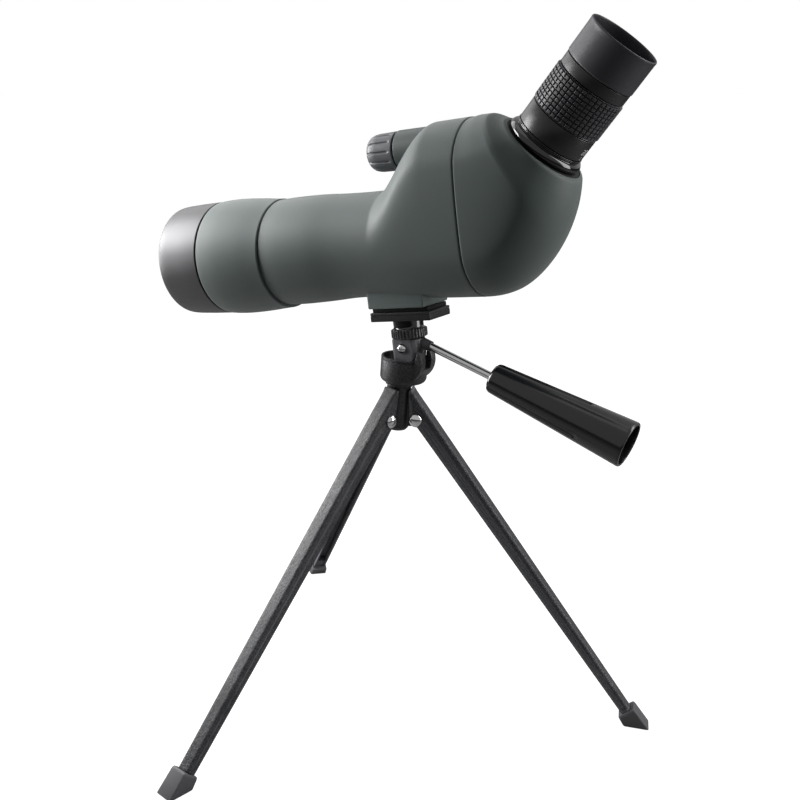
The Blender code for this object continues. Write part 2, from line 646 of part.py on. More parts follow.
def build_pan():
    pan = part("pan_body", turned_solid([
        (0, 216.0), (9.3, 216.0), (13.8, 217.8), (CUP_OUTER, 219.4), (CUP_OUTER, CUP_RIM),
        (CUP_INNER, CUP_RIM), (CUP_INNER, CUP_FLOOR), (0, CUP_FLOOR)], 28), CASTING, HEAD)
    # lobe on the handle side
    lobe = arc(3.2, PIVOT_Z - 8.0, 14.0, -75, 33, 10) + [
        (13.5, PIVOT_Z), (13.1, PIVOT_Z - 4), (12.0, PIVOT_Z - 8), (9.0, PIVOT_Z - 16)]
    join(pan, "pan_lobe", slab(lobe, 9.5), HEAD)
    # tongue that carries the tilt axis
    tongue = arc(PIVOT_X, PIVOT_Z, 3.4, -10, 190, 8) + [
        (PIVOT_X - 5.4, PIVOT_Z - 12.5), (PIVOT_X + 5.4, PIVOT_Z - 12.5)]
    join(pan, "pan_tongue", slab(tongue, 2.4), TRIPOD)
    cut(pan, "pan_slot", block((11.0, 24.0), (-3.8, 3.8), (PIVOT_Z - 12.2, PIVOT_Z + 6)),
        HEAD)
    cut(pan, "pan_pin_hole", rod(PIN_BORE, -12, 12, 16), PAN_PIN)
    cut(pan, "pan_bore", rod(2.3, 214.0, 226.0, 16), TRIPOD)
    part("pan_bolt", turned_solid([
        (0, 185.8), (4.3, 185.8), (4.3, 188.6), (2.0, 188.6), (2.0, 225.0), (0, 225.0)],
        12), STEEL, TRIPOD)


# ---------------------------------------------------------------- hub and legs
# In a leg's frame -Z runs down the leg and +X points up and outwards, square to it.
LEG_LEN = 240.0                # pivot to end of the leg channel
LEG_HEAD = -17.8               # top of the channel, measured down from the pivot
LEG_TOP_WIDTH, LEG_END_WIDTH = 11.2, 9.4
LEG_WALL = 1.2
LEG_TAPER = 0.0107             # each edge draws in this much per millimetre
FIN_T = 7.0                    # hub fin thickness
LEG_PIN_BORE = 1.3
SPLAY_COS = math.cos(math.radians(LEG_SPLAY))
SPLAY_SIN = math.sin(math.radians(LEG_SPLAY))


def line_height(radius, offset):
    """Height of a line parallel to the leg, offset from its pivot."""
    return LEG_Z + (offset - SPLAY_COS * (radius - LEG_R)) / SPLAY_SIN


def ground_reach(offset):
    """Distance down the leg to the ground."""
    return (LEG_Z + offset * SPLAY_SIN) / SPLAY_COS


def outer_edge(down):
    return 9.3 - LEG_TAPER * max(0.0, down)


def inner_edge(down):
    return -2.0 + LEG_TAPER * max(0.0, down)


def leg_slab(outline, half_width):
    """Slab from (offset, distance down the leg) points."""
    return slab([(offset, -down) for offset, down in outline], half_width)


def tapered_slab(outline, top_width, end_width):
    """Leg slab whose width tapers from the pivot to the end."""
    bm = leg_slab(outline, 0.5)
    for v in bm.verts:
        v.co.y *= top_width + (end_width - top_width) * -v.co.z / LEG_LEN
    return bm


def build_hub(leg_frames):
    hub = part("tripod_hub", turned_ring([
        (4.7, 185.0), (6.0, 185.0), (7.3, 186.6), (7.3, 213.8), (9.2, 215.0), (9.2, 215.7),
        (2.3, 215.7), (2.3, 189.0), (4.7, 189.0)], 24), CASTING, TRIPOD)
    fin = [(5.2, 188.4), (8.4, 188.2), *arc(LEG_R, LEG_Z, 5.6, -115, 18, 6),
           (17.2, line_height(17.2, 7.4)), (8.4, line_height(8.4, 7.4)), (5.2, 212.6)]
    for number, (station, pin_axis, _) in enumerate(leg_frames, 1):
        join(hub, f"hub_fin_{number}", slab(fin, FIN_T / 2), station)
        cut(hub, f"fin_hole_{number}", rod(LEG_PIN_BORE, -8, 8, 12), pin_axis)


def build_leg(number, leg_axis):
    top_out = outer_edge(0)
    side = [(inner_edge(0), -4.0), (inner_edge(0), 0.0), (inner_edge(LEG_LEN), LEG_LEN),
            (outer_edge(LEG_LEN), LEG_LEN), (top_out, 0.0), (top_out, LEG_HEAD),
            (top_out - 1.7, LEG_HEAD)]
    leg = part(f"leg_{number}", tapered_slab(side, LEG_TOP_WIDTH, LEG_END_WIDTH),
               PAINT, leg_axis)
    bevel = leg.modifiers.new("edges", "BEVEL")
    bevel.width = 0.5 * MM
    bevel.segments = 1
    bevel.limit_method = "ANGLE"
    bevel.angle_limit = math.radians(50)

    # the pocket runs past both ends and opens the inner side
    above, below = -30, LEG_LEN + 8
    open_side = inner_edge(0) - 4
    pocket = [(open_side, above), (open_side, below), (outer_edge(below) - LEG_WALL, below),
              (top_out - LEG_WALL, 0.0), (top_out - LEG_WALL, above)]
    cut(leg, f"leg_pocket_{number}", tapered_slab(
        pocket, LEG_TOP_WIDTH - 2 * LEG_WALL, LEG_END_WIDTH - 2 * LEG_WALL), leg_axis)
    hole_axis = frame(f"leg_hole_axis_{number}", leg_axis, turn=(90, 0, 0))
    cut(leg, f"leg_hole_{number}", rod(LEG_PIN_BORE, -8, 8, 12), hole_axis)


def build_leg_foot(number, leg_axis):
    """Rubber foot, square to the leg, with its sole flat on the ground."""
    inner, outer = -2.9, 10.1
    outline = [(inner, ground_reach(inner)), (outer, ground_reach(outer)),
               (outer, LEG_LEN + 1.6), (9.4, LEG_LEN + 0.4), (-2.3, LEG_LEN + 0.4),
               (inner, LEG_LEN + 1.6)]
    foot = part(f"foot_{number}", leg_slab(outline, 6.4), RUBBER, leg_axis)
    plug = block((inner_edge(LEG_LEN) + 0.8, outer_edge(LEG_LEN) - LEG_WALL - GAP),
                 centred(0, LEG_END_WIDTH - 2 * (LEG_WALL + GAP)),
                 (-LEG_LEN - 3.0, -LEG_LEN + 8.0))
    join(foot, f"foot_plug_{number}", plug, leg_axis)


def build_leg_pin(number, pin_axis):
    """Pin with a domed head at each end."""
    head = [(0, 8.1), (1.7, 7.9), (3.4, 7.1), (4.3, 6.0), (1.0, 6.0)]
    profile = [(radius, -height) for radius, height in head] + head[::-1]
    part(f"leg_pin_{number}", turned_solid(profile, 12), CHROME, pin_axis)


def make_leg_frames(number, azimuth):
    """Returns the frames of a leg's hub fin, pin and channel."""
    angle = math.radians(azimuth)
    pivot = (LEG_R * math.cos(angle), LEG_R * math.sin(angle), LEG_Z)
    return (frame(f"leg_station_{number}", TRIPOD, turn=(0, 0, azimuth)),
            frame(f"leg_pin_axis_{number}", TRIPOD, pivot, (90, 0, azimuth)),
            frame(f"leg_axis_{number}", TRIPOD, pivot, (0, -LEG_SPLAY, azimuth)))


def build_tripod():
    leg_frames = [make_leg_frames(number, azimuth)
                  for number, azimuth in enumerate(LEG_AZIMUTHS, 1)]
    build_hub(leg_frames)
    for number, (_, pin_axis, leg_axis) in enumerate(leg_frames, 1):
        build_leg(number, leg_axis)
        build_leg_foot(number, leg_axis)
        build_leg_pin(number, pin_axis)


build_objective()
build_focus_housing(*build_main_housing())
build_rear_housing()
build_focus_knob()
build_focus_carriage()
build_baffle()
build_prisms()
build_eyepiece_shell()
build_eyepiece_optics()
build_mounting_foot()
build_camera_plate()
build_lock_wheel()
build_tilt_block()
build_tilt_screw()
build_handle()
build_pan()
build_tripod()
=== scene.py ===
"""Angled spotting scope with a tilt handle on a small three-legged table stand, built round
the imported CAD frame.

The world is in metres with +Z up and the feet on the ground. Parts are drawn in millimetres
in local frames. In the scope's tilted frame the origin is the tilt pivot, the objective
faces -X, the eyepiece is at +X and Y runs across. Turned profiles are lists of (radius,
height), or (radius, height, corner radius), about the Z axis of their frame.
"""
import json
import math

import bpy
import bmesh
from mathutils import Matrix, Vector


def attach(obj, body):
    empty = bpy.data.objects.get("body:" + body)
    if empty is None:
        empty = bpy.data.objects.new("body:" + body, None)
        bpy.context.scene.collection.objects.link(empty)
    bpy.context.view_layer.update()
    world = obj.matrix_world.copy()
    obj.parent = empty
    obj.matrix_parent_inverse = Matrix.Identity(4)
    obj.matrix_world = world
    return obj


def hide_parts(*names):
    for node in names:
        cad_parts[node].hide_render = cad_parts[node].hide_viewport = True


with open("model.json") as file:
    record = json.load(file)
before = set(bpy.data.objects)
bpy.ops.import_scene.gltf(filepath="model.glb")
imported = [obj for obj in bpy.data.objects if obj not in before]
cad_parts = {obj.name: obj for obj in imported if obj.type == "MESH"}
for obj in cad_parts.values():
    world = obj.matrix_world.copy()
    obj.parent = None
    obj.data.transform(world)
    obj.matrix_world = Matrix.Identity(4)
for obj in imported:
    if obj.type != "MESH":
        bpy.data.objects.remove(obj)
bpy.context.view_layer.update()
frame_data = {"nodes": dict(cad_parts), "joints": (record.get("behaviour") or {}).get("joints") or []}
NODES = frame_data["nodes"]
JOINTS = {j["name"]: j for j in frame_data["joints"]}


# ---------------------------------------------------------------- frames, in millimetres
def shift(x, y, z):
    return Matrix.Translation((x, y, z))


def turn(degrees, axis):
    return Matrix.Rotation(math.radians(degrees), 4, axis)


TILT = 11.5                      # degrees the objective end hangs below level
EYE_ANGLE = 45                   # degrees between the eyepiece and the scope's axis
PAN_AXIS = Vector(JOINTS["head_pan"]["pos_m"]) * 1000.0
PAN_AXIS.z = 0.0
PIVOT = Vector(JOINTS["head_tilt"]["pos_m"]) * 1000.0

SCOPE = Matrix.Translation(PIVOT) @ turn(-TILT, "Y")
AXIS = SCOPE @ shift(0, 0, 63.3)                     # on the optical axis
BORE = AXIS @ turn(90, "Y")                          # Z back along the optical axis
EYE = AXIS @ shift(93.07, 0, 39.67) @ turn(EYE_ANGLE, "Y")
KNOB = AXIS @ shift(0, 18.0, 56.6) @ turn(90, "Y")   # Z back along the focus knob
WHEEL = SCOPE @ shift(1.9, 0, 0)
STICK = SCOPE @ shift(13.6, 0, 0.9) @ turn(115.75, "Y")    # Z out along the handle
TILT_PIN = SCOPE @ turn(90, "X")                     # Z towards -Y
GROUND = Matrix.Translation(PAN_AXIS)
HEAD = GROUND @ shift(2.0, 0, 0)


# ---------------------------------------------------------------- small maths
def smooth(t):
    t = min(1.0, max(0.0, t))
    return t * t * (3 - 2 * t)


def lerp(a, b, t):
    return a + (b - a) * t


def steps(start, end, n):
    return [start + (end - start) * i / n for i in range(n + 1)]


def around(centre, half):
    return centre - half, centre + half


def mirrored(half):
    """Points followed by their mirror image across the first axis, in reverse."""
    return half + [(a, -b) for a, b in reversed(half)]


def curve(table, x):
    """Smooth cubic through the (x, value) stations, held constant past both ends."""
    if x <= table[0][0]:
        return table[0][1]
    last = len(table) - 1
    for i in range(last):
        x0, v0 = table[i]
        x1, v1 = table[i + 1]
        if x <= x1:
            t = (x - x0) / (x1 - x0)
            m0 = m1 = v1 - v0
            if i > 0:
                m0 = (v1 - table[i - 1][1]) / (x1 - table[i - 1][0]) * (x1 - x0)
            if i + 1 < last:
                m1 = (table[i + 2][1] - v0) / (table[i + 2][0] - x0) * (x1 - x0)
            t2, t3 = t * t, t * t * t
            return ((2 * t3 - 3 * t2 + 1) * v0 + (t3 - 2 * t2 + t) * m0
                    + (-2 * t3 + 3 * t2) * v1 + (t3 - t2) * m1)
    return table[-1][1]


def rounded(points, n=4, closed=True):
    """Turns each corner that has a radius into a small curve of n steps."""
    out = []
    count = len(points)
    for i, p in enumerate(points):
        radius = p[2] if len(p) > 2 else 0.0
        if radius <= 0 or (not closed and i in (0, count - 1)):
            out.append((p[0], p[1]))
            continue
        before, corner, after = (Vector(q[:2]) for q in (points[i - 1], p, points[(i + 1) % count]))
        u, v = before - corner, after - corner
        start = corner + u.normalized() * min(radius, u.length * 0.49)
        end = corner + v.normalized() * min(radius, v.length * 0.49)
        for k in range(n + 1):
            t = k / n
            q = start * (1 - t) ** 2 + corner * 2 * t * (1 - t) + end * t * t
            out.append((q.x, q.y))
    return out


def divided(points, step, closed=True):
    """The same profile with long stretches cut into steps."""
    out = []
    count = len(points)
    for i in range(count if closed else count - 1):
        a, b = Vector(points[i]), Vector(points[(i + 1) % count])
        k = max(1, int(math.ceil((b - a).length / step)))
        for j in range(k):
            q = a.lerp(b, j / k)
            out.append((q.x, q.y))
    if not closed:
        out.append(tuple(points[-1]))
    return out


def arc(cx, cz, radius, start, end, n):
    """n + 1 points from the start angle to the end angle, in degrees."""
    return [(cx + radius * math.cos(math.radians(a)), cz + radius * math.sin(math.radians(a)))
            for a in steps(start, end, n)]


def roll(radius):
    """(distance from the end, inset) pairs that round an edge."""
    quarter = [math.pi / 2 * k / 5 for k in range(5)]
    return [(radius * (1 - math.cos(a)), radius * (1 - math.sin(a))) for a in quarter]


# ---------------------------------------------------------------- mesh builders, in millimetres
def lathe(profile, segments=96, closed=True, field=None):
    """Turns a profile about Z. field(phi, r, h) may give a point another radius."""
    bm = bmesh.new()
    rows = []
    for r, h in profile:
        if r < 1e-5:
            rows.append([bm.verts.new((0, 0, h))])
            continue
        row = []
        for k in range(segments):
            phi = 2 * math.pi * k / segments
            rr = field(phi, r, h) if field else r
            row.append(bm.verts.new((rr * math.cos(phi), rr * math.sin(phi), h)))
        rows.append(row)
    n = len(rows)
    for i in range(n if closed else n - 1):
        a, b = rows[i], rows[(i + 1) % n]
        for k in range(segments):
            j = (k + 1) % segments
            if len(a) == 1:
                bm.faces.new((a[0], b[k], b[j]))
            elif len(b) == 1:
                bm.faces.new((a[k], a[j], b[0]))
            else:
                bm.faces.new((a[k], a[j], b[j], b[k]))
    return bm


def loft(sections, loop=False):
    """Skin through equal rings of points, capped unless the last ring joins the first."""
    bm = bmesh.new()
    rows = [[bm.verts.new(p) for p in ring] for ring in sections]
    n, m = len(rows), len(rows[0])
    for k in range(n if loop else n - 1):
        a, b = rows[k], rows[(k + 1) % n]
        for i in range(m):
            j = (i + 1) % m
            bm.faces.new((a[i], a[j], b[j], b[i]))
    if not loop:
        bm.faces.new(rows[0])
        bm.faces.new(list(reversed(rows[-1])))
    return bm


def block(x, y, z, bevel=0.0, segments=3):
    """Box between (low, high) pairs."""
    bm = bmesh.new()
    bmesh.ops.create_cube(bm, size=1.0)
    bmesh.ops.scale(bm, vec=[high - low for low, high in (x, y, z)], verts=bm.verts)
    bmesh.ops.translate(bm, vec=[(low + high) / 2 for low, high in (x, y, z)], verts=bm.verts)
    if bevel:
        bmesh.ops.bevel(bm, geom=list(bm.edges), offset=bevel, segments=segments,
                        profile=0.6, affect="EDGES")
    return bm


def slab(points, half, bevel=0.0, segments=3):
    """Outline in XZ, extruded from -half to half along Y."""
    bm = bmesh.new()
    face = bm.faces.new([bm.verts.new((x, -half, z)) for x, z in points])
    made = bmesh.ops.extrude_face_region(bm, geom=[face])["geom"]
    far = [v for v in made if isinstance(v, bmesh.types.BMVert)]
    bmesh.ops.translate(bm, vec=(0, 2 * half, 0), verts=far)
    if bevel:
        bmesh.ops.recalc_face_normals(bm, faces=bm.faces)
        edges = [e for e in bm.edges if e.calc_face_angle(0) > 0.6]
        bmesh.ops.bevel(bm, geom=edges, offset=bevel, segments=segments, profile=0.6,
                        affect="EDGES", clamp_overlap=True)
    return bm


# ---------------------------------------------------------------- objects
def solid(name, bm, frame):
    """Turns a bmesh in millimetres in its frame into an object in metres."""
    bmesh.ops.remove_doubles(bm, verts=bm.verts, dist=1e-4)
    bmesh.ops.transform(bm, matrix=Matrix.Scale(0.001, 4) @ frame, verts=bm.verts)
    bmesh.ops.recalc_face_normals(bm, faces=bm.faces)
    mesh = bpy.data.meshes.new(name)
    bm.to_mesh(mesh)
    bm.free()
    ob = bpy.data.objects.new(name, mesh)
    bpy.context.scene.collection.objects.link(ob)
    return ob


def bake(ob):
    """Applies the object's modifiers to its mesh."""
    depsgraph = bpy.context.evaluated_depsgraph_get()
    mesh = bpy.data.meshes.new_from_object(ob.evaluated_get(depsgraph))
    ob.modifiers.clear()
    ob.data = mesh


def combine(ob, other, kind):
    mod = ob.modifiers.new("combine", "BOOLEAN")
    mod.operation, mod.solver, mod.object = kind, "EXACT", other
    bake(ob)
    bpy.data.objects.remove(other)


def cut(ob, bm, frame):
    combine(ob, solid("tool", bm, frame), "DIFFERENCE")


def join(ob, bm, frame):
    combine(ob, solid("tool", bm, frame), "UNION")


def cylinder(radius, low, high, segments=32):
    return lathe([(0, low), (radius, low), (radius, high), (0, high)], segments, closed=False)


def soften(ob, width, segments=2, angle=38):
    """Small rounded edges where faces meet sharply."""
    mod = ob.modifiers.new("edges", "BEVEL")
    mod.width, mod.segments, mod.limit_method = width * 0.001, segments, "ANGLE"
    mod.angle_limit = math.radians(angle)
    mod.use_clamp_overlap = True
    bake(ob)


def finish(ob, material, body, node, angle=38.0):
    """Shades, paints and hangs an object on its body. node is the CAD node it replaces."""
    ob.data.materials.clear()
    ob.data.materials.append(material)
    for p in ob.data.polygons:
        p.material_index = 0
    ob.data.shade_smooth()
    ob.data.set_sharp_from_angle(angle=math.radians(angle))
    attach(ob, body)
    if node:
        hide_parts(node)
    return ob


def add(name, bm, frame, material, body, node, angle=38.0):
    return finish(solid(name, bm, frame), material, body, node, angle)


# ---------------------------------------------------------------- shader helpers
WHITE = (1.0, 1.0, 1.0)


def feed(tree, socket, value):
    """Links a socket or sets its value; colours are given as RGB tuples."""
    if isinstance(value, bpy.types.NodeSocket):
        tree.links.new(value, socket)
    else:
        socket.default_value = (*value, 1.0) if isinstance(value, tuple) else value


def add_node(tree, kind, inputs={}, **settings):
    node = tree.nodes.new(kind)
    for key, value in settings.items():
        setattr(node, key, value)
    for key, value in inputs.items():
        feed(tree, node.inputs[key], value)
    return node


def tone(colour, gain, lift=0.0):
    return tuple(c * gain + lift for c in colour)


class Shader:
    """A Principled material whose textures lie in object coordinates in millimetres."""

    def __init__(self, name):
        self.material = bpy.data.materials.new(name)
        self.material.use_nodes = True
        self.tree = self.material.node_tree
        self.bsdf = self.tree.nodes["Principled BSDF"]
        coords = self.node("ShaderNodeTexCoord").outputs["Object"]
        self.mm = self.node("ShaderNodeVectorMath", {"Scale": 1000.0, 0: coords},
                            operation="SCALE").outputs[0]

    def node(self, kind, inputs={}, **settings):
        return add_node(self.tree, kind, inputs, **settings)

    def noise(self, scale, detail=2.0, rough=0.5, vector=None):
        return self.node("ShaderNodeTexNoise", {
            "Scale": scale, "Detail": detail, "Roughness": rough,
            "Vector": vector or self.mm}).outputs[0]

    def ramp(self, value, low, high):
        """Black up to low, white from high."""
        node = self.node("ShaderNodeValToRGB", {0: value})
        for element, place, grey in zip(node.color_ramp.elements, (low, high), (0.0, 1.0)):
            element.position = place
            element.color = (grey, grey, grey, 1.0)
        return node.outputs[0]

    def mix(self, factor, a, b):
        return self.node("ShaderNodeMix", {0: factor, 6: a, 7: b},
                         data_type="RGBA", blend_type="MIX").outputs[2]

    def times(self, value, factor):
        return self.node("ShaderNodeMath", {0: value, 1: factor}, operation="MULTIPLY").outputs[0]

    def rescale(self, value, low, high):
        return self.node("ShaderNodeMapRange",
                         {"To Min": low, "To Max": high, "Value": value}).outputs[0]

    def edges(self, low, high, strength):
        """Mask of the convex edges."""
        geometry = self.node("ShaderNodeNewGeometry")
        return self.times(self.ramp(geometry.outputs["Pointiness"], low, high), strength)

    def bump(self, height, depth):
        """Relief of the given depth in millimetres, on top of any earlier one."""
        inputs = {"Distance": depth * 0.001, "Height": height}
        normal = self.bsdf.inputs["Normal"]
        if normal.is_linked:
            inputs["Normal"] = normal.links[0].from_socket
        self.set(Normal=self.node("ShaderNodeBump", inputs).outputs[0])

    def along(self, frame):
        """Distance along the Z axis of a frame, for lathe marks."""
        z = (frame.to_3x3() @ Vector((0, 0, 1))).normalized()
        dot = self.node("ShaderNodeVectorMath", {1: z, 0: self.mm}, operation="DOT_PRODUCT")
        return self.node("ShaderNodeCombineXYZ", {0: dot.outputs["Value"]}).outputs[0]

    def set(self, **values):
        for key, value in values.items():
            feed(self.tree, self.bsdf.inputs[key.replace("_", " ")], value)


# ---------------------------------------------------------------- material kinds
def plastic(name, base, rough, spread, grain, depth, rough_range=0.06, coat=0.0, sheen=0.0,
            specular=0.5, edge_highlight=0.25, edge_highlight_range=(0.53, 0.66)):
    """Moulded surface: cloudy tone, fine grain, and convex edges painted paler as a painted
    highlight.
    spread is the change in tone, grain the bump's noise scale, depth its millimetres."""
    s = Shader(name)
    light = tone(base, 1 + spread)
    colour = s.mix(s.noise(scale=0.045, detail=4.0, rough=0.6), tone(base, 1 - spread), light)
    fine = s.noise(scale=0.9, detail=3.0, rough=0.6)
    colour = s.mix(s.times(fine, factor=0.25), colour, light)
    # painted highlight: convex edges are painted paler than the base colour
    if edge_highlight:
        colour = s.mix(s.edges(*edge_highlight_range, edge_highlight), colour, tone(base, gain=1.9, lift=0.02))
    s.set(Base_Color=colour,
          Roughness=s.rescale(s.noise(scale=0.35, detail=3.0),
                              rough - rough_range, rough + rough_range),
          Coat_Weight=coat, Sheen_Weight=sheen, Specular_IOR_Level=specular,
          Coat_Roughness=0.08, Sheen_Roughness=0.6)
    s.bump(s.noise(grain), depth)
    return s.material


def painted(name, low, high, rough, scale, depth):
    """Hammered or cast paint: lumps with brighter crests."""
    s = Shader(name)
    lump = s.noise(scale, detail=3.0, rough=0.62)
    crest = s.ramp(lump, low=0.38, high=0.68)
    cloud = s.mix(s.noise(scale=0.05, detail=3.0), tone(low, gain=0.8), tone(high, gain=1.15))
    colour = s.mix(crest, low, cloud)
    # painted highlight: convex edges are painted much paler than the crests
    colour = s.mix(s.edges(low=0.54, high=0.7, strength=0.45), colour,
                   tone(high, gain=2.2, lift=0.03))
    # crests are smoother than hollows
    s.set(Base_Color=colour, Roughness=s.rescale(lump, low=rough + 0.08, high=rough - 0.08),
          Coat_Roughness=0.15)
    s.bump(lump, depth)
    s.bump(s.noise(scale * 4.5), depth * 0.18)
    return s.material


def metal(name, base, rough, marks, depth=0.004, tint=0.1, frame=None):
    """Plated or turned metal with faint stains, and fine marks along the frame's axis.
    marks is the noise scale of the marks, tint the darkening of the stains."""
    s = Shader(name)
    stain = s.noise(scale=0.12, detail=4.0, rough=0.6)
    colour = s.mix(stain, tone(base, 1 - tint), base)
    vector = s.along(frame) if frame else s.mm
    lines = s.noise(marks, detail=3.0, rough=0.7, vector=vector)
    s.set(Base_Color=colour, Metallic=1.0,
          Roughness=s.rescale(lines, low=rough * 0.7, high=rough * 1.5))
    if depth:
        s.bump(lines, depth)
    return s.material


def glass(name, tint, film):
    """Lens glass with a coloured reflection from a coating film nanometres thick."""
    s = Shader(name)
    smear = s.noise(scale=0.08, detail=3.0, rough=0.6)
    s.set(Base_Color=s.mix(smear, tint, tone(tint, gain=1.06)),
          Roughness=s.rescale(smear, low=0.005, high=0.03), Transmission_Weight=1.0, IOR=1.52,
          Thin_Film_Thickness=film, Thin_Film_IOR=1.38,
          Coat_Weight=0.6, Coat_Roughness=0.02, Coat_Tint=(0.55, 0.85, 0.75))
    return s.material


def anodised(name):
    """Dark metal turned about the optical axis, with convex edges painted bright as a painted
    highlight.
    """
    s = Shader(name)
    lines = s.noise(scale=1.6, detail=4.0, rough=0.75, vector=s.along(BORE))
    colour = s.mix(s.noise(scale=0.03, detail=3.0), (0.074, 0.072, 0.076), (0.096, 0.094, 0.098))
    # painted highlight: convex edges are painted pale grey
    colour = s.mix(s.edges(low=0.53, high=0.62, strength=0.5), colour, (0.35, 0.35, 0.36))
    s.set(Base_Color=colour, Metallic=0.7, Roughness=s.rescale(lines, low=0.40, high=0.50),
          Specular_IOR_Level=0.9)
    s.bump(lines, depth=0.006)
    return s.material


# ---------------------------------------------------------------- materials
ARMOUR = plastic("armour_rubber", base=(0.063, 0.088, 0.081), rough=0.56, spread=0.07, grain=5.5,
                 depth=0.010, rough_range=0.03, sheen=0.25, edge_highlight=0.35, edge_highlight_range=(0.53, 0.60))
FOOT_BLOCK = plastic("foot_block_rubber", base=(0.130, 0.168, 0.160), rough=0.5, spread=0.07,
                     grain=5.5, depth=0.010, rough_range=0.03, sheen=0.2)
SEAM = plastic("seam_rubber", base=(0.004, 0.004, 0.0045), rough=0.7, spread=0.1, grain=6,
               depth=0.006, edge_highlight=0.0, specular=0.2)
HOUSING = plastic("focus_housing_plastic", base=(0.082, 0.098, 0.096), rough=0.46, spread=0.14,
                  grain=2.0, depth=0.02, rough_range=0.03)
KNOB_BODY = plastic("knob_plastic", base=(0.120, 0.124, 0.134), rough=0.42, spread=0.12, grain=5,
                    depth=0.012, rough_range=0.05, edge_highlight=0.5)
SATIN = plastic("satin_black", base=(0.010, 0.010, 0.011), rough=0.30, spread=0.12, grain=7,
                depth=0.004, rough_range=0.04)
INNER = plastic("inner_black", base=(0.004, 0.004, 0.0045), rough=0.6, spread=0.2, grain=5,
                depth=0.008, edge_highlight=0.1, specular=0.3)
GLOSS = plastic("gloss_black", base=(0.005, 0.005, 0.0055), rough=0.12, spread=0.15, grain=0.5,
                depth=0.012, rough_range=0.03, coat=0.6, edge_highlight=0.2)
GRIP = plastic("grip_black", base=(0.008, 0.008, 0.010), rough=0.22, spread=0.2, grain=0.25,
               depth=0.02, rough_range=0.03, coat=0.5, edge_highlight=0.3)
CUP = plastic("eyecup_rubber", base=(0.046, 0.046, 0.054), rough=0.42, spread=0.1, grain=6,
              depth=0.006, rough_range=0.04, edge_highlight=0.5, edge_highlight_range=(0.52, 0.58))
KNURL = plastic("knurl_rubber", base=(0.036, 0.036, 0.041), rough=0.36, spread=0.2, grain=3,
                depth=0.02, rough_range=0.08, edge_highlight=0.8, edge_highlight_range=(0.50, 0.56))
BARREL = plastic("barrel_black", base=(0.021, 0.021, 0.023), rough=0.34, spread=0.12, grain=7,
                 depth=0.004, rough_range=0.03)
PRINT = plastic("scale_print", base=(0.75, 0.75, 0.73), rough=0.5, spread=0.05, grain=6,
                depth=0.003, edge_highlight=0.0)
PAD = plastic("pad_rubber", base=(0.006, 0.006, 0.0065), rough=0.75, spread=0.2, grain=3,
              depth=0.03, specular=0.3)
PLATE = plastic("plate_plastic", base=(0.011, 0.011, 0.012), rough=0.40, spread=0.3, grain=1.6,
                depth=0.06, rough_range=0.1, edge_highlight=0.6)
SOLE = plastic("foot_rubber", base=(0.110, 0.110, 0.117), rough=0.55, spread=0.2, grain=1.4,
               depth=0.06, rough_range=0.08, edge_highlight=0.6)
PAINT = painted("hammer_paint", low=(0.016, 0.016, 0.019), high=(0.17, 0.173, 0.19), rough=0.36,
                scale=1.1, depth=0.35)
CAST = painted("cast_paint", low=(0.014, 0.014, 0.016), high=(0.120, 0.121, 0.132), rough=0.34,
               scale=1.3, depth=0.22)
WHEEL_PAINT = painted("wheel_paint", low=(0.035, 0.035, 0.037), high=(0.26, 0.26, 0.27),
                      rough=0.26, scale=2.6, depth=0.03)
NECK = plastic("neck_gloss", base=(0.006, 0.006, 0.0065), rough=0.10, spread=0.2, grain=0.9,
               depth=0.01, coat=0.7)
CHROME = metal("chrome_plate", base=(0.86, 0.86, 0.87), rough=0.06, marks=0.8, depth=0.0, tint=0.06)
ROD = metal("rod_plate", base=(0.85, 0.85, 0.86), rough=0.07, frame=STICK, marks=0.25, depth=0.0,
            tint=0.2)
STEEL = metal("bright_steel", base=(0.56, 0.56, 0.57), rough=0.28, marks=3.0)
BRASS = metal("turned_brass", base=(0.74, 0.56, 0.29), rough=0.28, frame=EYE, marks=3.0)
FRONT_GLASS = glass("objective_glass", tint=(0.80, 0.90, 0.86), film=330.0)
EYE_GLASS = glass("eyepiece_glass", tint=(0.78, 0.86, 0.84), film=410.0)
RING = anodised("black_anodise")

# ---------------------------------------------------------------- body surface
RING_POINTS = 112                # points round every body section
SKIN = 2.0                       # thickness of the covers
COVER_X = (-82.0, 59.9)          # front and back ends of the main cover
BEND = 44.5                      # degrees the rear cover turns through
FAN = (60.3, 89.5)               # X and Z of the centre the rear cover bends about
HUMP_X = (-6.0, 38.0)            # where the rise to the prism hump starts and ends
HUMP_RISE = 69.9 - 33.6
# (x, half width)
WIDTHS = [(-104, 34.1), (-84, 34.15), (-70, 34.4), (-50, 33.85), (-30, 32.65), (-12, 32.5),
          (20, 33.5), (60, 34.0)]
# (x, z of the underside)
BOTTOMS = [(-104, -33.9), (-84, -33.6), (-70, -33.5), (-50, -32.5), (-30, -31.1), (-12, -31.2),
           (25, -33.3), (60, -34.1)]
# (bend angle, distance of the underside from the bend centre)
REAR_REACH = [(0, 123.6), (4.7, 123.2), (9.4, 121.7), (13.8, 118.7), (19.4, 113.5),
              (25.9, 106.7), (32.5, 99.5), (38.5, 93.0), (44.5, 86.2)]
# (x, radius) of the front barrel
FRONT_RADII = [(-131.2, 37.3), (-126, 37.7), (-118, 37.9), (-109, 37.6), (-99, 36.9),
               (-90, 36.0), (-83.6, 35.4)]


def body_top(x):
    return curve(WIDTHS, x) + HUMP_RISE * smooth((x - HUMP_X[0]) / (HUMP_X[1] - HUMP_X[0]))


def top_inset(x, inset):
    """Height of the top line moved inwards, square to itself."""
    if inset <= 0:
        return body_top(x)
    shifts = [d * inset / 8.0 for d in range(-8, 9)]
    return min(body_top(x + d) - math.sqrt(max(0.0, inset * inset - d ** 2)) for d in shifts)


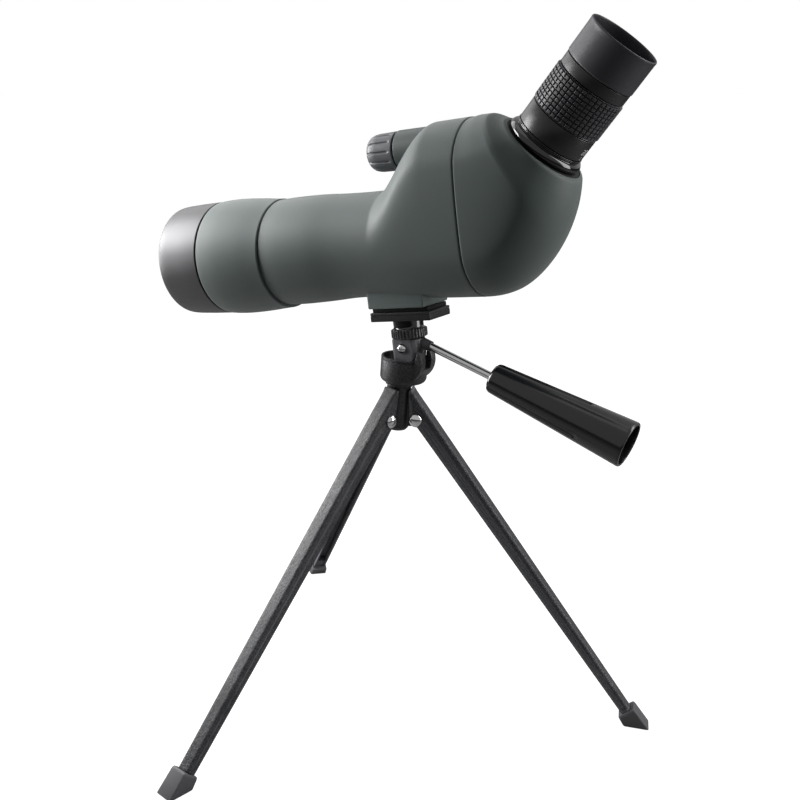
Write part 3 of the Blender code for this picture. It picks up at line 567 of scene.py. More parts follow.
def oval(w, low, high):
    """Ring of (y, h): a circle of radius w, stretched upright to reach from low to high."""
    points = []
    for i in range(RING_POINTS):
        a = 2 * math.pi * (i + 0.5) / RING_POINTS - math.pi / 2
        s = math.sin(a)
        stretch = (high - low - 2 * w) * smooth((s + 0.34) / 0.68)
        points.append((w * math.cos(a), low + w + w * s + stretch))
    return points


def main_section(x, inset):
    w = curve(WIDTHS, x) - inset
    low = curve(BOTTOMS, x) + inset
    high = max(top_inset(x, inset), low + 2 * w)
    return [Vector((x, y, h)) for y, h in oval(w, low, high)]


def rear_section(theta, inset):
    """Section in the plane turned by theta degrees about the bend centre."""
    a = math.radians(theta)
    near = smooth((theta - 33) / 11.5)
    outer = curve(REAR_REACH, theta)
    inner = 19.6 / math.cos(a) - 0.8 * smooth(theta / 20) * (1 - near) + 4.3 * near
    w = 34.0 - 2.4 * (theta / BEND) ** 2 - 4.6 * smooth((theta - 29) / 15.5)
    return [Vector((FAN[0] - h * math.sin(a), y, FAN[1] + h * math.cos(a)))
            for y, h in oval(w - inset, -(outer - inset), -(inner + inset))]


# front barrel cover
FRONT_EDGE = -130.5
profile = [(34.9, -131.2), (35.6, -131.2), (35.6, -130.6), (36.9, FRONT_EDGE)]
profile += [(curve(FRONT_RADII, FRONT_EDGE + d) - i, FRONT_EDGE + d) for d, i in roll(0.5)]
profile += [(curve(FRONT_RADII, x), x) for x in steps(-129.9, -84.3, 46)]
profile += [(35.43, -83.4), (35.36, -82.95), (35.2, -82.6), (34.95, -82.42), (34.6, -82.35),
            (32.9, -82.35), (34.0, -95), (34.5, -106)]
add("front_barrel_cover", lathe(profile, 144), BORE, ARMOUR, "scope", "front_armour",
    50)

# main cover with its rise to the prism hump, hollowed for the focus housing
outside = [main_section(COVER_X[0] + d, i) for d, i in roll(0.45)]
outside += [main_section(x, 0.0) for x in steps(-81.4, 58.8, 104)]
outside += [main_section(COVER_X[1] - d, i) for d, i in reversed(roll(0.8))]
inside = [main_section(x, SKIN) for x in reversed(steps(*COVER_X, 30))]
cover = solid("body_cover", loft(outside + inside, loop=True), AXIS)
cut(cover, lathe([(0, 50.0), (6.5, 48.8), (10.9, 45.0), (12.0, 39.5), (12.0, -3.0), (0, -3.0)],
                 64, closed=False), KNOB)
finish(cover, ARMOUR, "scope", "body_armour", 60)

# rear cover, bending up to the eyepiece; the factors are degrees per millimetre at each end
outside = [rear_section(d * 0.55, i) for d, i in roll(0.8)]
outside += [rear_section(a, 0.0) for a in steps(0.6, 43.2, 76)]
outside += [rear_section(BEND - d * 0.8, i) for d, i in reversed(roll(1.4))]
inside = [rear_section(a, SKIN) for a in reversed(steps(0.0, BEND, 30))]
add("rear_cover", loft(outside + inside, loop=True), AXIS, ARMOUR, "scope", "rear_armour",
    60)

# black joints: between the two covers, behind the front barrel, behind the front ring
outside = [main_section(x, 0.75) for x in (59.93, 60.1, 60.27)]
inside = [main_section(x, 3.8) for x in (60.27, 60.1, 59.93)]
add("cover_joint", loft(outside + inside, loop=True), AXIS, SEAM, "scope", "housing_seal",
    40)
for name, r0, r1, x0, x1 in (("front_joint", 32.6, 33.3, -82.32, -82.03),
                             ("ring_joint", 34.0, 35.9, -131.75, -131.25)):
    add(name, lathe([(r0, x0), (r1, x0), (r1, x1), (r0, x1)], 120), BORE, SEAM, "scope", None)

# ---------------------------------------------------------------- objective
# front ring with a rounded lip and a threaded inside
THREAD_PITCH, THREAD_COUNT = 0.75, 13
profile = rounded([(32.6, -131.8), (37.25, -131.8, 0.5), (37.05, -146.0), (36.55, -159.5, 3.0),
                   (36.0, -163.6, 1.2), (35.0, -164.5, 0.9), (33.4, -164.5, 0.6),
                   (32.6, -162.9)], 6)
for k in range(THREAD_COUNT):
    h = -162.4 + k * THREAD_PITCH
    profile += [(32.5, h), (32.05, h + 0.28), (32.05, h + 0.42), (32.5, h + 0.7)]
profile += [(32.0, -152.4), (31.8, -140.0), (32.6, -139.6)]
add("dew_ring", lathe(profile, 144), BORE, RING, "scope", "front_ring", 35)

# lens cell, stepped inside
STEP_PITCH, STEP_COUNT = 1.4, 10
profile = [(31.25, -139.0), (31.25, -117.0), (30.3, -117.0)]
for k in range(STEP_COUNT):
    h = -118.2 - k * STEP_PITCH
    profile += [(30.3, h), (30.75, h - 0.2), (30.75, h - 0.9), (30.3, h - 1.1)]
profile += [(30.3, -139.0)]
add("lens_cell", lathe(profile, 120), BORE, INNER, "scope", "objective_cell")


def key_slots(phi, r, h):
    """Two opposite slots in the retainer's inner front edge."""
    return r + 1.1 if r < 28.2 and abs(math.sin(phi)) < 0.05 and h < -135 else r


profile = rounded([(27.6, -136.6, 0.3), (30.0, -136.6, 0.2), (30.0, -133.9), (27.6, -133.9)], 3)
add("lens_retainer", lathe(profile, 120, field=key_slots), BORE, SATIN, "scope",
    "objective_retainer")


def lens(radius, low, thickness, low_bulge, high_bulge, segments=96):
    """Lens whose rim runs up from height low; a negative bulge is hollow."""
    ratios = [k / 10 for k in range(1, 11)]
    high = low + thickness
    points = [(0, low - low_bulge)]
    points += [(radius * q, low - low_bulge * (1 - q ** 2)) for q in ratios]
    points += [(radius * q, high + high_bulge * (1 - q ** 2)) for q in reversed(ratios)]
    return lathe(points + [(0, high + high_bulge)], segments, closed=False)


add("objective_glass_1", lens(29.9, low=-133.4, thickness=3.8, low_bulge=2.6, high_bulge=2.4),
    BORE, FRONT_GLASS, "scope", "objective_front_lens", 30)
add("objective_glass_2", lens(29.9, low=-129.1, thickness=6.5, low_bulge=-2.4, high_bulge=0.8),
    BORE, FRONT_GLASS, "scope", "objective_rear_lens", 30)

# ---------------------------------------------------------------- focus housing and knob
profile = rounded([(0, 49.6), (5.5, 48.9, 3), (10.2, 45.4, 4.0), (12.4, 38.0, 4.0),
                   (12.4, 0.05, 0.5), (3.2, 0.05), (3.2, 3.0), (10.4, 3.0), (10.4, 40.0),
                   (0, 46.0)], 8, False)
add("drive_housing", lathe(divided(profile, 2.5, False), 96, closed=False), KNOB, HOUSING,
    "scope", "focus_housing")

CAP_FRONT, CAP_BACK, CAP_R, CAP_RIBS = -22.0, -1.3, 12.0, 12
GROOVE_DEPTH = 0.85
SHOULDER_DEPTH = 0.0448          # extra fall of the ribs towards each groove


def ribs(phi, r, h):
    """Lengthwise grooves round the knob, fading out at both ends."""
    if r < 9.3 or h > CAP_BACK - 1.0 or h < CAP_FRONT + 1.6:
        return r
    u = (phi * CAP_RIBS / (2 * math.pi)) % 1.0
    u = min(u, 1 - u) * (2 * math.pi / CAP_RIBS) * r      # distance from the groove's centre
    groove = 1 - smooth((u - 0.25) / 0.55)
    shoulder = 1 - smooth((u - 0.8) / 2.2)
    ends = smooth((h - (CAP_FRONT + 1.6)) / 1.6) * (1 - smooth((h - (CAP_BACK - 3.4)) / 1.4))
    return r - GROOVE_DEPTH * groove * ends - SHOULDER_DEPTH * shoulder * ends


profile = rounded([(0, CAP_FRONT), (6.4, CAP_FRONT + 0.1, 2.0), (10.4, CAP_FRONT + 1.9, 2.6),
                   (11.75, CAP_FRONT + 6.5, 2.5), (CAP_R, CAP_BACK - 2.6), (CAP_R, CAP_BACK, 0.7),
                   (2.9, CAP_BACK), (2.9, CAP_FRONT + 6.0), (0, CAP_FRONT + 6.0)], 6, False)
add("focus_cap", lathe(divided(profile, 0.8, False), 240, closed=False, field=ribs), KNOB,
    KNOB_BODY, "focus_drive", "focus_knob", 42)
profile = [(6.0, CAP_BACK + 0.15), (11.0, CAP_BACK + 0.15), (11.0, -0.1), (6.0, -0.1)]
add("drive_joint", lathe(profile, 72), KNOB, SEAM, "scope", None)

# ---------------------------------------------------------------- mounting foot
FOOT_BOTTOM = 26.1
foot = solid("base_block", block(around(3.1, 19.7), around(0, 15.85), (FOOT_BOTTOM, 40.0), 1.1),
             SCOPE)
cut(foot, cylinder(4.9, 20, 45, 48), WHEEL)
finish(foot, FOOT_BLOCK, "scope", "mounting_foot")

# ---------------------------------------------------------------- eyepiece
SLEEVE_R = 19.3                  # bore shared by the eyepiece rings
BARREL_R = 21.1
SEAT = 11.9                      # where the seat starts along the eyepiece

profile = rounded([
    (SLEEVE_R, SEAT), (22.9, SEAT, 0.6), (23.6, SEAT + 1.3, 1.0), (23.55, SEAT + 3.0, 1.5),
    (22.3, SEAT + 4.7, 1.2), (21.2, SEAT + 5.0, 0.4), (21.1, 17.2, 0.2), (20.3, 17.3),
    (20.3, 17.75), (21.45, 17.8, 0.25), (21.45, 18.25, 0.1), (21.1, 18.35), (21.1, 18.5),
    (21.45, 18.6, 0.2), (21.45, 19.0, 0.2), (SLEEVE_R, 19.0)], 6)
add("eyepiece_seat", lathe(profile, 144), EYE, GLOSS, "scope", "eyepiece_collar",
    45)

profile = rounded([(SLEEVE_R, 19.4), (BARREL_R, 19.4, 0.25), (BARREL_R, 31.7), (20.9, 32.0, 0.15),
                   (SLEEVE_R, 32.0)], 3)
add("zoom_scale_barrel", lathe(profile, 144), EYE, BARREL, "zoom_ring", "scale_barrel")

KNURL_ROWS, KNURL_COLS, KNURL_LOW, KNURL_HIGH = 9, 42, 33.0, 54.9
KNURL_PITCH = (KNURL_HIGH - KNURL_LOW) / KNURL_ROWS


def knurl(phi, r, h):
    """Crossing grooves that leave a grid of small pads."""
    if r < 21.15:
        return r
    v = ((h - KNURL_LOW) / KNURL_PITCH) % 1.0
    v = min(v, 1 - v) * KNURL_PITCH
    u = (phi * KNURL_COLS / (2 * math.pi)) % 1.0
    u = min(u, 1 - u) * (2 * math.pi * 21.6 / KNURL_COLS)
    return r - 0.95 * (1 - smooth((min(u, v) - 0.20) / 0.28))


heights = []
for i in range(KNURL_ROWS):
    low = KNURL_LOW + i * KNURL_PITCH
    high = low + KNURL_PITCH
    heights += [low, low + 0.2, low + 0.34, low + 0.48, low + KNURL_PITCH / 2,
                high - 0.48, high - 0.34, high - 0.2]
profile = [(SLEEVE_R, 32.4), (20.8, 32.4), (21.1, 32.55)]
profile += [(21.65, h) for h in heights + [KNURL_HIGH]]
profile += [(21.1, 55.35), (20.8, 55.5), (SLEEVE_R, 55.5)]
add("zoom_knurl", lathe(profile, KNURL_COLS * 16, field=knurl), EYE, KNURL, "zoom_ring",
    "zoom_grip", 45)

profile = rounded([
    (SLEEVE_R, 55.9), (20.6, 55.9, 0.2), (20.9, 56.3, 0.2), (20.9, 62.4, 0.25), (19.9, 62.4),
    (19.9, 72.8, 0.3), (17.0, 72.8, 0.4), (14.6, 70.9, 0.3), (14.0, 70.4), (14.0, 69.4),
    (17.6, 69.4), (17.6, 60.3), (SLEEVE_R, 60.3)], 4)
add("eyepiece_band", lathe(profile, 144), EYE, BARREL, "scope", "eye_band")

profile = rounded([
    (20.25, 62.8), (20.85, 62.8, 0.2), (21.3, 63.3, 0.35), (21.25, 78.5), (21.25, 81.8),
    (21.4, 83.3, 0.3), (21.2, 83.95, 0.35), (20.8, 84.1, 0.3), (20.45, 83.7, 0.3), (20.3, 82.4),
    (20.25, 74.5)], 4)
add("eye_rubber", lathe(divided(profile, 1.5), 144), EYE, CUP, "cup", "eyecup",
    45)
add("eye_glass", lens(15.7, low=64.4, thickness=3.8, low_bulge=0.4, high_bulge=0.9, segments=72),
    EYE, EYE_GLASS, "scope", "eye_lens", 30)

# magnification marks round the barrel: ticks and numbers made of short bars
DIGIT_W, DIGIT_H, STROKE = 2.0, 3.4, 0.42
# bar: (left, bottom, right, top)
BARS = {"a": (0, DIGIT_H - STROKE, DIGIT_W, DIGIT_H),
        "b": (DIGIT_W - STROKE, DIGIT_H / 2, DIGIT_W, DIGIT_H),
        "c": (DIGIT_W - STROKE, 0, DIGIT_W, DIGIT_H / 2),
        "d": (0, 0, DIGIT_W, STROKE),
        "e": (0, 0, STROKE, DIGIT_H / 2),
        "f": (0, DIGIT_H / 2, STROKE, DIGIT_H),
        "g": (0, DIGIT_H / 2 - STROKE / 2, DIGIT_W, DIGIT_H / 2 + STROKE / 2)}
DIGITS = {"0": "abcdef", "2": "abged", "3": "abgcd", "4": "fgbc", "5": "afgcd", "6": "afgecd"}


def print_bar(bm, angle, left, bottom, right, top):
    """Thin raised bar on the barrel; left and right are millimetres from the angle."""
    a0, a1 = angle + left / BARREL_R, angle + right / BARREL_R
    corners = ((a0, bottom), (a1, bottom), (a1, top), (a0, top))
    under, over = ([bm.verts.new((r * math.cos(a), r * math.sin(a), h)) for a, h in corners]
                   for r in (BARREL_R - 0.02, BARREL_R + 0.04))
    bm.faces.new(list(reversed(under)))
    bm.faces.new(over)
    for i in range(4):
        j = (i + 1) % 4
        bm.faces.new((under[i], under[j], over[j], over[i]))


marks = bmesh.new()
for i, number in enumerate(("20", "30", "40", "50", "60")):
    angle = math.radians(-3.0 + 26.0 * i)
    print_bar(marks, angle, -0.2, 20.1, 0.2, 22.4)
    for k, digit in enumerate(number):
        x = -2.4 + k * 2.7
        for bar in DIGITS[digit]:
            x0, y0, x1, y1 = BARS[bar]
            print_bar(marks, angle, x + x0, 23.6 + y0, x + x1, 23.6 + y1)
add("scale_marks", marks, EYE, PRINT, "zoom_ring", None, 30)

# ---------------------------------------------------------------- plate, pad and wheel
PLATE_X, PLATE_LEN, PLATE_W = 3.9, 21.15, 13.25      # centre, half length, half width
PLATE_LOW, PLATE_TOP = 17.7, 17.7 + 5.7

# plate with a fine groove round its sides
plate = solid("quick_plate", block(around(PLATE_X, PLATE_LEN), around(0, PLATE_W),
                                   (PLATE_LOW, PLATE_TOP), 0.7), SCOPE)
rings = [[Vector((PLATE_X + sx * (PLATE_LEN + 1.0), sy * (PLATE_W + 1.0), z))
          for sx, sy in ((-1, -1), (1, -1), (1, 1), (-1, 1))]
         for z in (PLATE_LOW + 3.7, PLATE_LOW + 4.2)]
groove_tool = solid("groove_tool", loft(rings), SCOPE)
cut(groove_tool, block(around(PLATE_X, PLATE_LEN - 0.35), around(0, PLATE_W - 0.35),
                       (PLATE_LOW + 3.0, PLATE_LOW + 5.0)), SCOPE)
combine(plate, groove_tool, "DIFFERENCE")
cut(plate, cylinder(3.5, 4, 30, 48), WHEEL)
finish(plate, PLATE, "scope", "camera_plate")

pad = solid("cork_pad", block(around(PLATE_X, PLATE_LEN - 1.6), around(0, PLATE_W - 1.0),
                              (PLATE_TOP + 0.02, FOOT_BOTTOM - 0.02), 0.5, 2), SCOPE)
cut(pad, cylinder(3.5, 4, 30, 48), WHEEL)
finish(pad, PAD, "scope", "plate_pad")

TEETH = 34


def serrate(phi, r, h):
    """Notches round the wheel's rim."""
    if r < 10.4 or h > 11.65:
        return r
    u = (phi * TEETH / (2 * math.pi)) % 1.0
    u = min(u, 1 - u) * 2
    return r - 0.75 * (1 - smooth((u - 0.15) / 0.55))


profile = rounded([(3.5, 6.0), (10.3, 6.0), (11.4, 6.5, 0.3), (11.4, 11.3, 0.3), (10.5, 11.8),
                   (9.7, 12.0, 0.3), (9.4, 12.8, 0.4), (9.6, PLATE_LOW - 0.1),
                   (3.5, PLATE_LOW - 0.1)], 4)
wheel = add("lock_wheel_ribbed", lathe(divided(profile, 0.9), TEETH * 10, field=serrate), WHEEL,
            WHEEL_PAINT, "wheel", "lock_wheel", 42)
# the neck above the rim is glossy
wheel.data.materials.append(NECK)
to_wheel = (Matrix.Scale(0.001, 4) @ WHEEL).inverted()
for p in wheel.data.polygons:
    c = to_wheel @ p.center
    if c.z > 12.3 and math.hypot(c.x, c.y) > 8:
        p.material_index = 1

# ---------------------------------------------------------------- tilt block
tilt = solid("tilt_casting", lathe(rounded([(0, -10.2), (10.4, -10.2), (10.4, 5.1, 0.5),
                                            (9.6, 5.7, 0.3), (0, 5.7)], 4, False),
                                   96, closed=False), SCOPE @ shift(0.8, 0, 0))
# round underside and flat sides
outline = arc(0, 0, 10.2, 180, 360, 48) + [(12.5, 0), (12.5, 8), (-12.5, 8), (-12.5, 0)]
combine(tilt, solid("tool", slab(outline, 8.3), SCOPE), "INTERSECT")
# boss for the handle
join(tilt, lathe(rounded([(0, -6), (3.3, -6), (3.3, 3.2, 0.5), (0, 3.2)], 4, False),
                 48, closed=False), STICK)
cut(tilt, cylinder(11.75, 5.6, 9, 72), WHEEL)
# slot along the underside round the pivot
outline = [(-16, -14), (10.6, -14), (10.6, -6.5)] + arc(0, 0, 3.75, 0, 160, 24) + [(-16, -0.5)]
cut(tilt, slab(outline, 2.8), SCOPE)
cut(tilt, cylinder(1.8, -15, 15), TILT_PIN)
cut(tilt, cylinder(2.8, -3.8, 9, 40), STICK)
cut(tilt, cylinder(3.4, 4.4, 8, 40), WHEEL)
soften(tilt, 0.28)
finish(tilt, CAST, "scope", "tilt_block")

# domed cross-head screw through it
profile = rounded([(0, 10.5), (1.3, 10.35), (2.6, 9.5, 0.6), (3.1, 8.6, 0.2), (1.5, 8.6),
                   (1.5, -8.6), (2.9, -8.6), (2.9, -10.2, 0.4), (0, -10.4)], 5, False)
screw = solid("tilt_screw_head", lathe(profile, 64, closed=False), TILT_PIN)
for k in range(2):
    cut(screw, block(around(0, 1.9), around(0, 0.32), (9.4, 12.0)),
        TILT_PIN @ turn(35 + 90 * k, "Z"))
finish(screw, CHROME, "scope", "tilt_screw")

# ---------------------------------------------------------------- handle
profile = rounded([(0, -3.4), (2.0, -3.4, 0.2), (2.5, -2.8, 0.2), (2.5, 60.0), (0, 60.0)],
                  4, False)
add("handle_bar", lathe(divided(profile, 4.0, False), 64, closed=False), STICK, ROD,
    "handle", "handle_rod")

FLUTES, FLUTE_R, FLUTE_END, FLUTE_TAIL = 3, 2.2, 112.0, 3.0


def grip_radius(h):
    return 9.4 + (14.15 - 9.4) * (h - 49.8) / (139.0 - 49.8)


def flutes(phi, r, h):
    """Round channels along the grip that run out before its wide end."""
    if r < grip_radius(h) - 1.8:
        return r
    tail = max(0.0, (h - (FLUTE_END - FLUTE_TAIL)) / FLUTE_TAIL)
    radius = FLUTE_R * math.sqrt(max(0.0, 1 - tail * tail))
    centre = grip_radius(h) + 0.7
    best = r
    for k in range(FLUTES):
        a = phi - math.radians(360.0 / FLUTES * k + 60)
        a = (a + math.pi) % (2 * math.pi) - math.pi
        side = centre * math.sin(a)
        if abs(a) < 1.2 and abs(side) < radius:
            best = min(best, centre * math.cos(a) - math.sqrt(radius * radius - side ** 2))
    return best


profile = rounded([(2.8, 48.3), (8.5, 48.3, 0.5), (9.4, 49.9, 0.9), (14.15, 138.9, 0.6),
                   (13.7, 139.8, 0.4), (12.5, 139.8, 0.3), (7.6, 66.0, 0.8), (6.6, 62.0),
                   (2.8, 62.0)], 5)
add("handle_sleeve", lathe(divided(profile, 1.3), 216, field=flutes), STICK, GRIP,
    "handle", "handle_grip", 40)

# ---------------------------------------------------------------- pan body
profile = rounded([(0, 216.0), (9.3, 216.0, 0.4), (13.6, 217.7, 1.4), (14.8, 219.6, 1.0),
                   (14.8, 231.6), (14.45, 231.8), (14.45, 232.2), (14.8, 232.4),
                   (14.8, 233.5, 0.35), (13.5, 233.5, 0.3), (13.5, 228.4, 0.6), (0, 228.4)],
                  5, False)
pan = solid("pan_cup", lathe(profile, 96, closed=False), HEAD)
# raised bulge on the +X side, then the upright lug in the middle
outline = arc(3.2, 232.0, 14.0, -75, 33, 40) + [(13.5, 240.0), (13.1, 236), (12.0, 232),
                                                (9.0, 224)]
join(pan, slab(outline, 9.5, 0.9), HEAD)
join(pan, slab(arc(2.0, 240.0, 3.4, -10, 190, 24) + [(-3.4, 227.5), (7.4, 227.5)], 2.4), HEAD)
cut(pan, block((11.0, 24.0), around(0, 3.8), (227.8, 246.0)), HEAD)
cut(pan, cylinder(1.8, -12, 12), HEAD @ shift(2.0, 0, 240.0) @ turn(90, "X"))
cut(pan, cylinder(2.3, 214, 226), GROUND)
soften(pan, 0.3)
finish(pan, CAST, "pan_head", "pan_body")

# hexagonal bolt head, facing down under the hub, and its shank
rings = [[Vector((r * math.cos(math.radians(60 * k)), r * math.sin(math.radians(60 * k)), z))
          for k in range(6)] for r, z in ((4.2, 185.7), (4.3, 186.0), (4.3, 188.6))]
bolt = solid("pan_bolt_hex", loft(rings), GROUND)
join(bolt, cylinder(2.0, 188.3, 225.0), GROUND)
soften(bolt, 0.2)
finish(bolt, STEEL, "pan_head", "pan_bolt")

# ---------------------------------------------------------------- hub
LEG_AZIMUTHS = (258.9, 18.9, 138.9)
LEG_SPLAY = 39.3                 # degrees from upright
HINGE_R, HINGE_Z = 12.5, 193.5   # leg hinges: distance from the pan axis, height
LEG_LEN = 240.0
SPLAY_COS = math.cos(math.radians(LEG_SPLAY))
SPLAY_SIN = math.sin(math.radians(LEG_SPLAY))


def leg_line(rho, v):
    """Height, rho from the pan axis, of the line v outside the leg's hinge line."""
    return HINGE_Z + (v - SPLAY_COS * (rho - HINGE_R)) / SPLAY_SIN


profile = rounded([(4.7, 185.0), (5.9, 185.0, 0.4), (7.3, 186.8, 0.6), (7.3, 213.4, 0.8),
                   (9.2, 214.9, 0.5), (9.2, 215.7, 0.3), (2.3, 215.7), (2.3, 189.0),
                   (4.7, 189.0)], 4)
hub = solid("hub_casting", lathe(profile), GROUND)
fin = [(5.2, 188.4), (8.4, 188.2)] + arc(HINGE_R, HINGE_Z, 5.6, -115, 18, 20)
fin += [(17.2, leg_line(17.2, 7.4)), (8.4, leg_line(8.4, 7.4)), (5.2, 212.6)]
leg_frames, pin_frames = [], []
for azimuth in LEG_AZIMUTHS:
    a = math.radians(azimuth)
    join(hub, slab(fin, 3.5, 0.5, 2), GROUND @ turn(azimuth, "Z"))
    hinge = (GROUND @ shift(HINGE_R * math.cos(a), HINGE_R * math.sin(a), HINGE_Z)
             @ turn(azimuth, "Z"))
    pin_frames.append(hinge @ turn(90, "X"))
    leg_frames.append(hinge @ turn(-LEG_SPLAY, "Y"))
    cut(hub, cylinder(1.3, -8, 8), pin_frames[-1])
soften(hub, 0.3)
finish(hub, CAST, "tripod", "tripod_hub")

# ---------------------------------------------------------------- legs, feet and pins
WALL = 1.2                       # thickness of the leg channel


def channel_edges(u):
    """Inner and outer edge of the channel, u millimetres down the leg."""
    taper = 0.0107 * max(0.0, u)
    return -2.0 + taper, 9.3 - taper


def leg_section(u):
    """U channel, open towards the stand's axis, with a crease pressed in each side."""
    w = lerp(11.2, 9.4, max(0.0, u) / LEG_LEN) / 2
    vi, vo = channel_edges(u)
    if u < -4.0:
        vi = lerp(vi, vo - 1.75, (-4.0 - u) / 13.8)
    r = min(2.2, (vo - vi) * 0.45)
    ri = max(0.3, r - WALL)
    crease = 0.55 * smooth((u + 2.0) / 8.0) * smooth((LEG_LEN - 1.0 - u) / 5.0)
    mid = lerp(vi, vo, 0.46)
    outer = [(vi, -w)]
    if vo - vi > 6:
        outer += [(lerp(vi, mid, 0.55), -w), (mid - 0.7, -w), (mid, -w + crease),
                  (mid + 0.7, -w)]
    else:
        outer += [(lerp(vi, vo, q), -w) for q in (0.1, 0.2, 0.3, 0.4)]
    outer += [(vo - r + r * math.sin(a), -w + r - r * math.cos(a))
              for a in (math.pi / 2 * q / 6 for q in range(7))]
    outer += [(vo, -w * 0.25)]
    inner = [(vi, w - WALL), (min(vo - WALL - 0.05, mid), w - WALL)]
    inner += [(vo - WALL - ri + ri * math.cos(a), w - WALL - ri + ri * math.sin(a))
              for a in (math.pi / 2 * q / 4 for q in range(4, -1, -1))]
    return mirrored(outer) + mirrored(inner)


LEG_STATIONS = [-17.8, -16, -14, -11, -8, -6, -4, -2, 0, 2, 4, 6]
LEG_STATIONS += steps(10, LEG_LEN - 8, 44)
LEG_STATIONS += [LEG_LEN - d for d in (6, 4, 2.5, 1, 0)]

# rings of the boot from the sole up: (share of the way from the leg's square end to the
# ground, offset down the leg, inner edge, outer edge, half width)
BOOT_RINGS = [(1.0, 0.0, -2.3, 9.5, 5.8), (1.0, -0.35, -2.8, 10.0, 6.3),
              (1.0, -0.8, -2.9, 10.1, 6.4), (0.5, 0.8, -2.75, 9.95, 6.2),
              (0.0, 2.2, -2.6, 9.8, 6.05), (0.0, 1.0, -2.45, 9.6, 5.85),
              (0.0, 0.4, -2.1, 9.2, 5.4)]


def boot_ring(share, offset, v0, v1, w):
    r = 1.1                      # corner radius
    points = []
    for cx, cy, start in ((v1 - r, w - r, 0), (v0 + r, w - r, 90),
                          (v0 + r, -w + r, 180), (v1 - r, -w + r, 270)):
        for v, y in arc(cx, cy, r, start, start + 90, 5):
            sole = (HINGE_Z + v * SPLAY_SIN) / SPLAY_COS
            points.append(Vector((v, y, -(lerp(LEG_LEN, sole, share) + offset))))
    return points


def leg(number, frame):
    rings = [[Vector((v, w, -u)) for v, w in leg_section(u)] for u in LEG_STATIONS]
    ob = solid("leg_channel_%d" % number, loft(rings), frame)
    cut(ob, cylinder(1.3, -8, 8), frame @ turn(90, "X"))
    soften(ob, 0.22, 2, 55)
    finish(ob, PAINT, "leg_assembly_%d" % number, "leg_%d" % number, 45)


def boot(number, frame):
    """Boot with its sole flat on the ground and a plug inside the channel's end."""
    ob = solid("leg_boot_%d" % number, loft([boot_ring(*ring) for ring in BOOT_RINGS]), frame)
    vi, vo = channel_edges(LEG_LEN)
    join(ob, block((vi + 0.8, vo - 1.5), around(0, 3.2), (-LEG_LEN - 3.0, -LEG_LEN + 8.0),
                   0.3, 2), frame)
    finish(ob, SOLE, "leg_assembly_%d" % number, "foot_%d" % number, 40)


def rivet(number, frame):
    """Pin with a domed head at each end."""
    half = [(0, -8.15)]
    half += [(4.3 * math.sin(a), -6.0 - 2.15 * math.cos(a))
             for a in (math.pi / 2 * q / 8 for q in range(1, 9))]
    half += [(4.1, -5.95), (1.0, -5.95)]
    add("leg_rivet_%d" % number, lathe(mirrored(half), 48, closed=False), frame, CHROME,
        "tripod", "leg_pin_%d" % number, 40)


for i in range(3):
    leg(i + 1, leg_frames[i])
    boot(i + 1, leg_frames[i])
    rivet(i + 1, pin_frames[i])

# ---------------------------------------------------------------- CAD nodes that stay
KEPT = ((INNER, ("light_baffle", "main_casing", "rear_casing", "focus_carriage",
                 "eyepiece_tube")),
        (EYE_GLASS, ("half_penta_prism", "roof_prism", "focus_lens", "zoom_lens_group",
                     "field_lens_group")),
        (STEEL, ("prism_frame", "focus_rail", "focus_shaft", "camera_stud")),
        (BRASS, ("zoom_cam_sleeve", "foot_insert")))
for material, names in KEPT:
    for name in names:
        ob = NODES[name]
        if not ob.data.materials:
            ob.data.materials.append(material)
        for i in range(len(ob.data.materials)):
            ob.data.materials[i] = material
        for slot in ob.material_slots:
            slot.material = material

# ---------------------------------------------------------------- camera
scene = bpy.context.scene
CAMERA_PLACE = Vector((325.9, -585.3, 409.3))        # millimetres from the pan axis
YAW, PITCH, ROLL = (math.radians(a) for a in (29.05, -17.05, 4.02))
forward = Vector((-math.sin(YAW) * math.cos(PITCH), math.cos(YAW) * math.cos(PITCH),
                  math.sin(PITCH)))
level = Vector((math.cos(YAW), math.sin(YAW), 0))
upright = level.cross(forward)
right = level * math.cos(ROLL) + upright * math.sin(ROLL)
up = upright * math.cos(ROLL) - level * math.sin(ROLL)
camera = bpy.data.cameras.new("camera")
camera.sensor_width = 36.0
camera.lens = 49.365
camera.clip_start, camera.clip_end = 0.01, 30.0
camera_ob = bpy.data.objects.new("camera", camera)
place = (CAMERA_PLACE + PAN_AXIS) * 0.001
rows = [(right[i], up[i], -forward[i], place[i]) for i in range(3)]
camera_ob.matrix_world = Matrix(rows + [(0, 0, 0, 1)])
scene.collection.objects.link(camera_ob)
scene.camera = camera_ob
scene.view_settings.view_transform = "Standard"

# ---------------------------------------------------------------- floor
bm = bmesh.new()
bmesh.ops.create_grid(bm, x_segments=2, y_segments=2, size=6.0)
mesh = bpy.data.meshes.new("floor")
bm.to_mesh(mesh)
bm.free()
floor = bpy.data.objects.new("floor", mesh)
floor.location = (0, 0, -0.0004)
scene.collection.objects.link(floor)

# grey paper that also glows white, but only as the camera sees it
paper = Shader("floor_paper")
paper.set(Base_Color=paper.mix(paper.noise(scale=0.01), (0.30, 0.30, 0.30), (0.31, 0.31, 0.31)),
          Roughness=0.9, Specular_IOR_Level=0.0)
plain = paper.bsdf.outputs[0]
rays = paper.node("ShaderNodeLightPath")
glow = paper.node("ShaderNodeEmission", {"Color": WHITE, "Strength": 1.0})
lit = paper.node("ShaderNodeAddShader", {0: plain, 1: glow.outputs[0]})
seen = paper.node("ShaderNodeMixShader",
                  {0: rays.outputs["Is Camera Ray"], 1: plain, 2: lit.outputs[0]})
feed(paper.tree, paper.tree.nodes["Material Output"].inputs["Surface"], seen.outputs[0])
mesh.materials.append(paper.material)

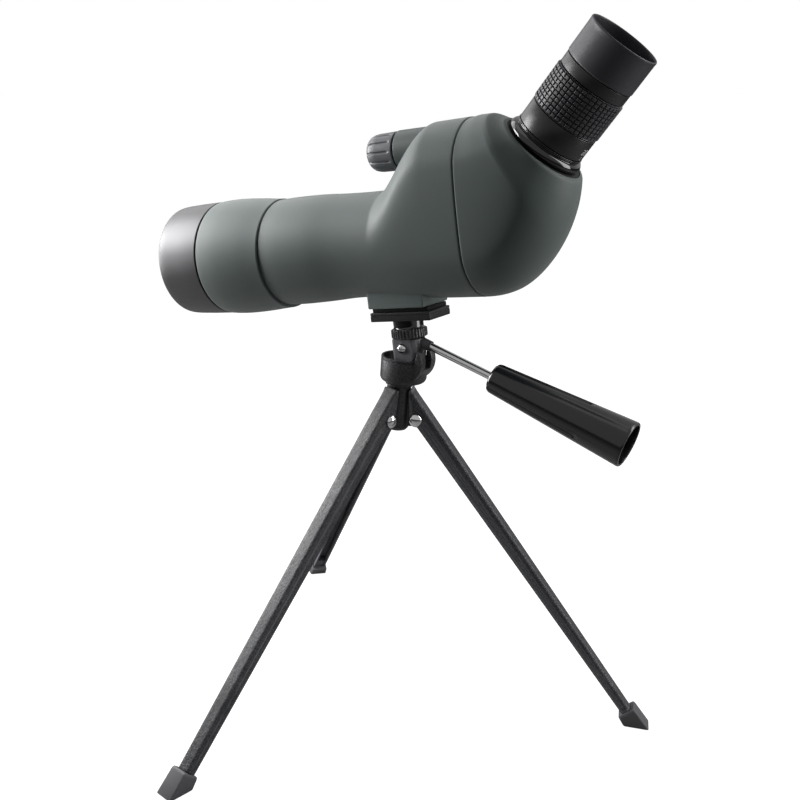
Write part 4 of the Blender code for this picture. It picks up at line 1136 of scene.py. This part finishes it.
# ---------------------------------------------------------------- lights
CENTRE = Vector((0.0, 0.02, 0.27))
FRONT_END = Vector((-0.09, 0.02, 0.29))


def area(name, azimuth, elevation, distance, width, height, watts, aim=CENTRE):
    """Area light aimed at a point. Azimuth 0 is towards -Y and 90 towards +X; metres."""
    a, e = math.radians(azimuth), math.radians(elevation)
    away = Vector((math.sin(a) * math.cos(e), -math.cos(a) * math.cos(e), math.sin(e)))
    light = bpy.data.lights.new(name, "AREA")
    light.shape, light.size, light.size_y, light.energy = "RECTANGLE", width, height, watts
    ob = bpy.data.objects.new(name, light)
    ob.location = aim + away * distance
    ob.rotation_euler = (-away).to_track_quat("-Z", "Y").to_euler()
    scene.collection.objects.link(ob)


# name, azimuth, elevation, distance, width, height, watts, aim
for light in (("key_left", -73, 24, 0.48, 0.30, 0.30, 2.9, FRONT_END),
              ("low_left", -72, 2, 0.48, 0.25, 0.35, 2.5, FRONT_END),
              ("rim_left", -112, 35, 0.8, 0.5, 0.6, 1.6),
              ("rim_right", 110, 20, 0.8, 0.35, 0.8, 3.8),
              ("back_right", 130, 50, 0.9, 0.5, 0.5, 1.5),
              ("top", -90, 80, 0.9, 0.6, 0.6, 0.5)):
    area(*light)

# ---------------------------------------------------------------- world
# white to the camera, dim as a light, brighter in reflections
world = bpy.data.worlds.new("studio")
scene.world = world
world.use_nodes = True
tree = world.node_tree
ambient = tree.nodes["Background"]
rays = add_node(tree, "ShaderNodeLightPath")
strength = add_node(tree, "ShaderNodeMapRange", {
    "To Min": 0.06, "To Max": 0.42, "Value": rays.outputs["Is Glossy Ray"]})
feed(tree, ambient.inputs["Color"], WHITE)
feed(tree, ambient.inputs["Strength"], strength.outputs[0])
backdrop = add_node(tree, "ShaderNodeBackground", {"Color": WHITE, "Strength": 1.0})
seen = add_node(tree, "ShaderNodeMixShader", {
    0: rays.outputs["Is Camera Ray"], 1: ambient.outputs[0], 2: backdrop.outputs[0]})
feed(tree, tree.nodes["World Output"].inputs["Surface"], seen.outputs[0])
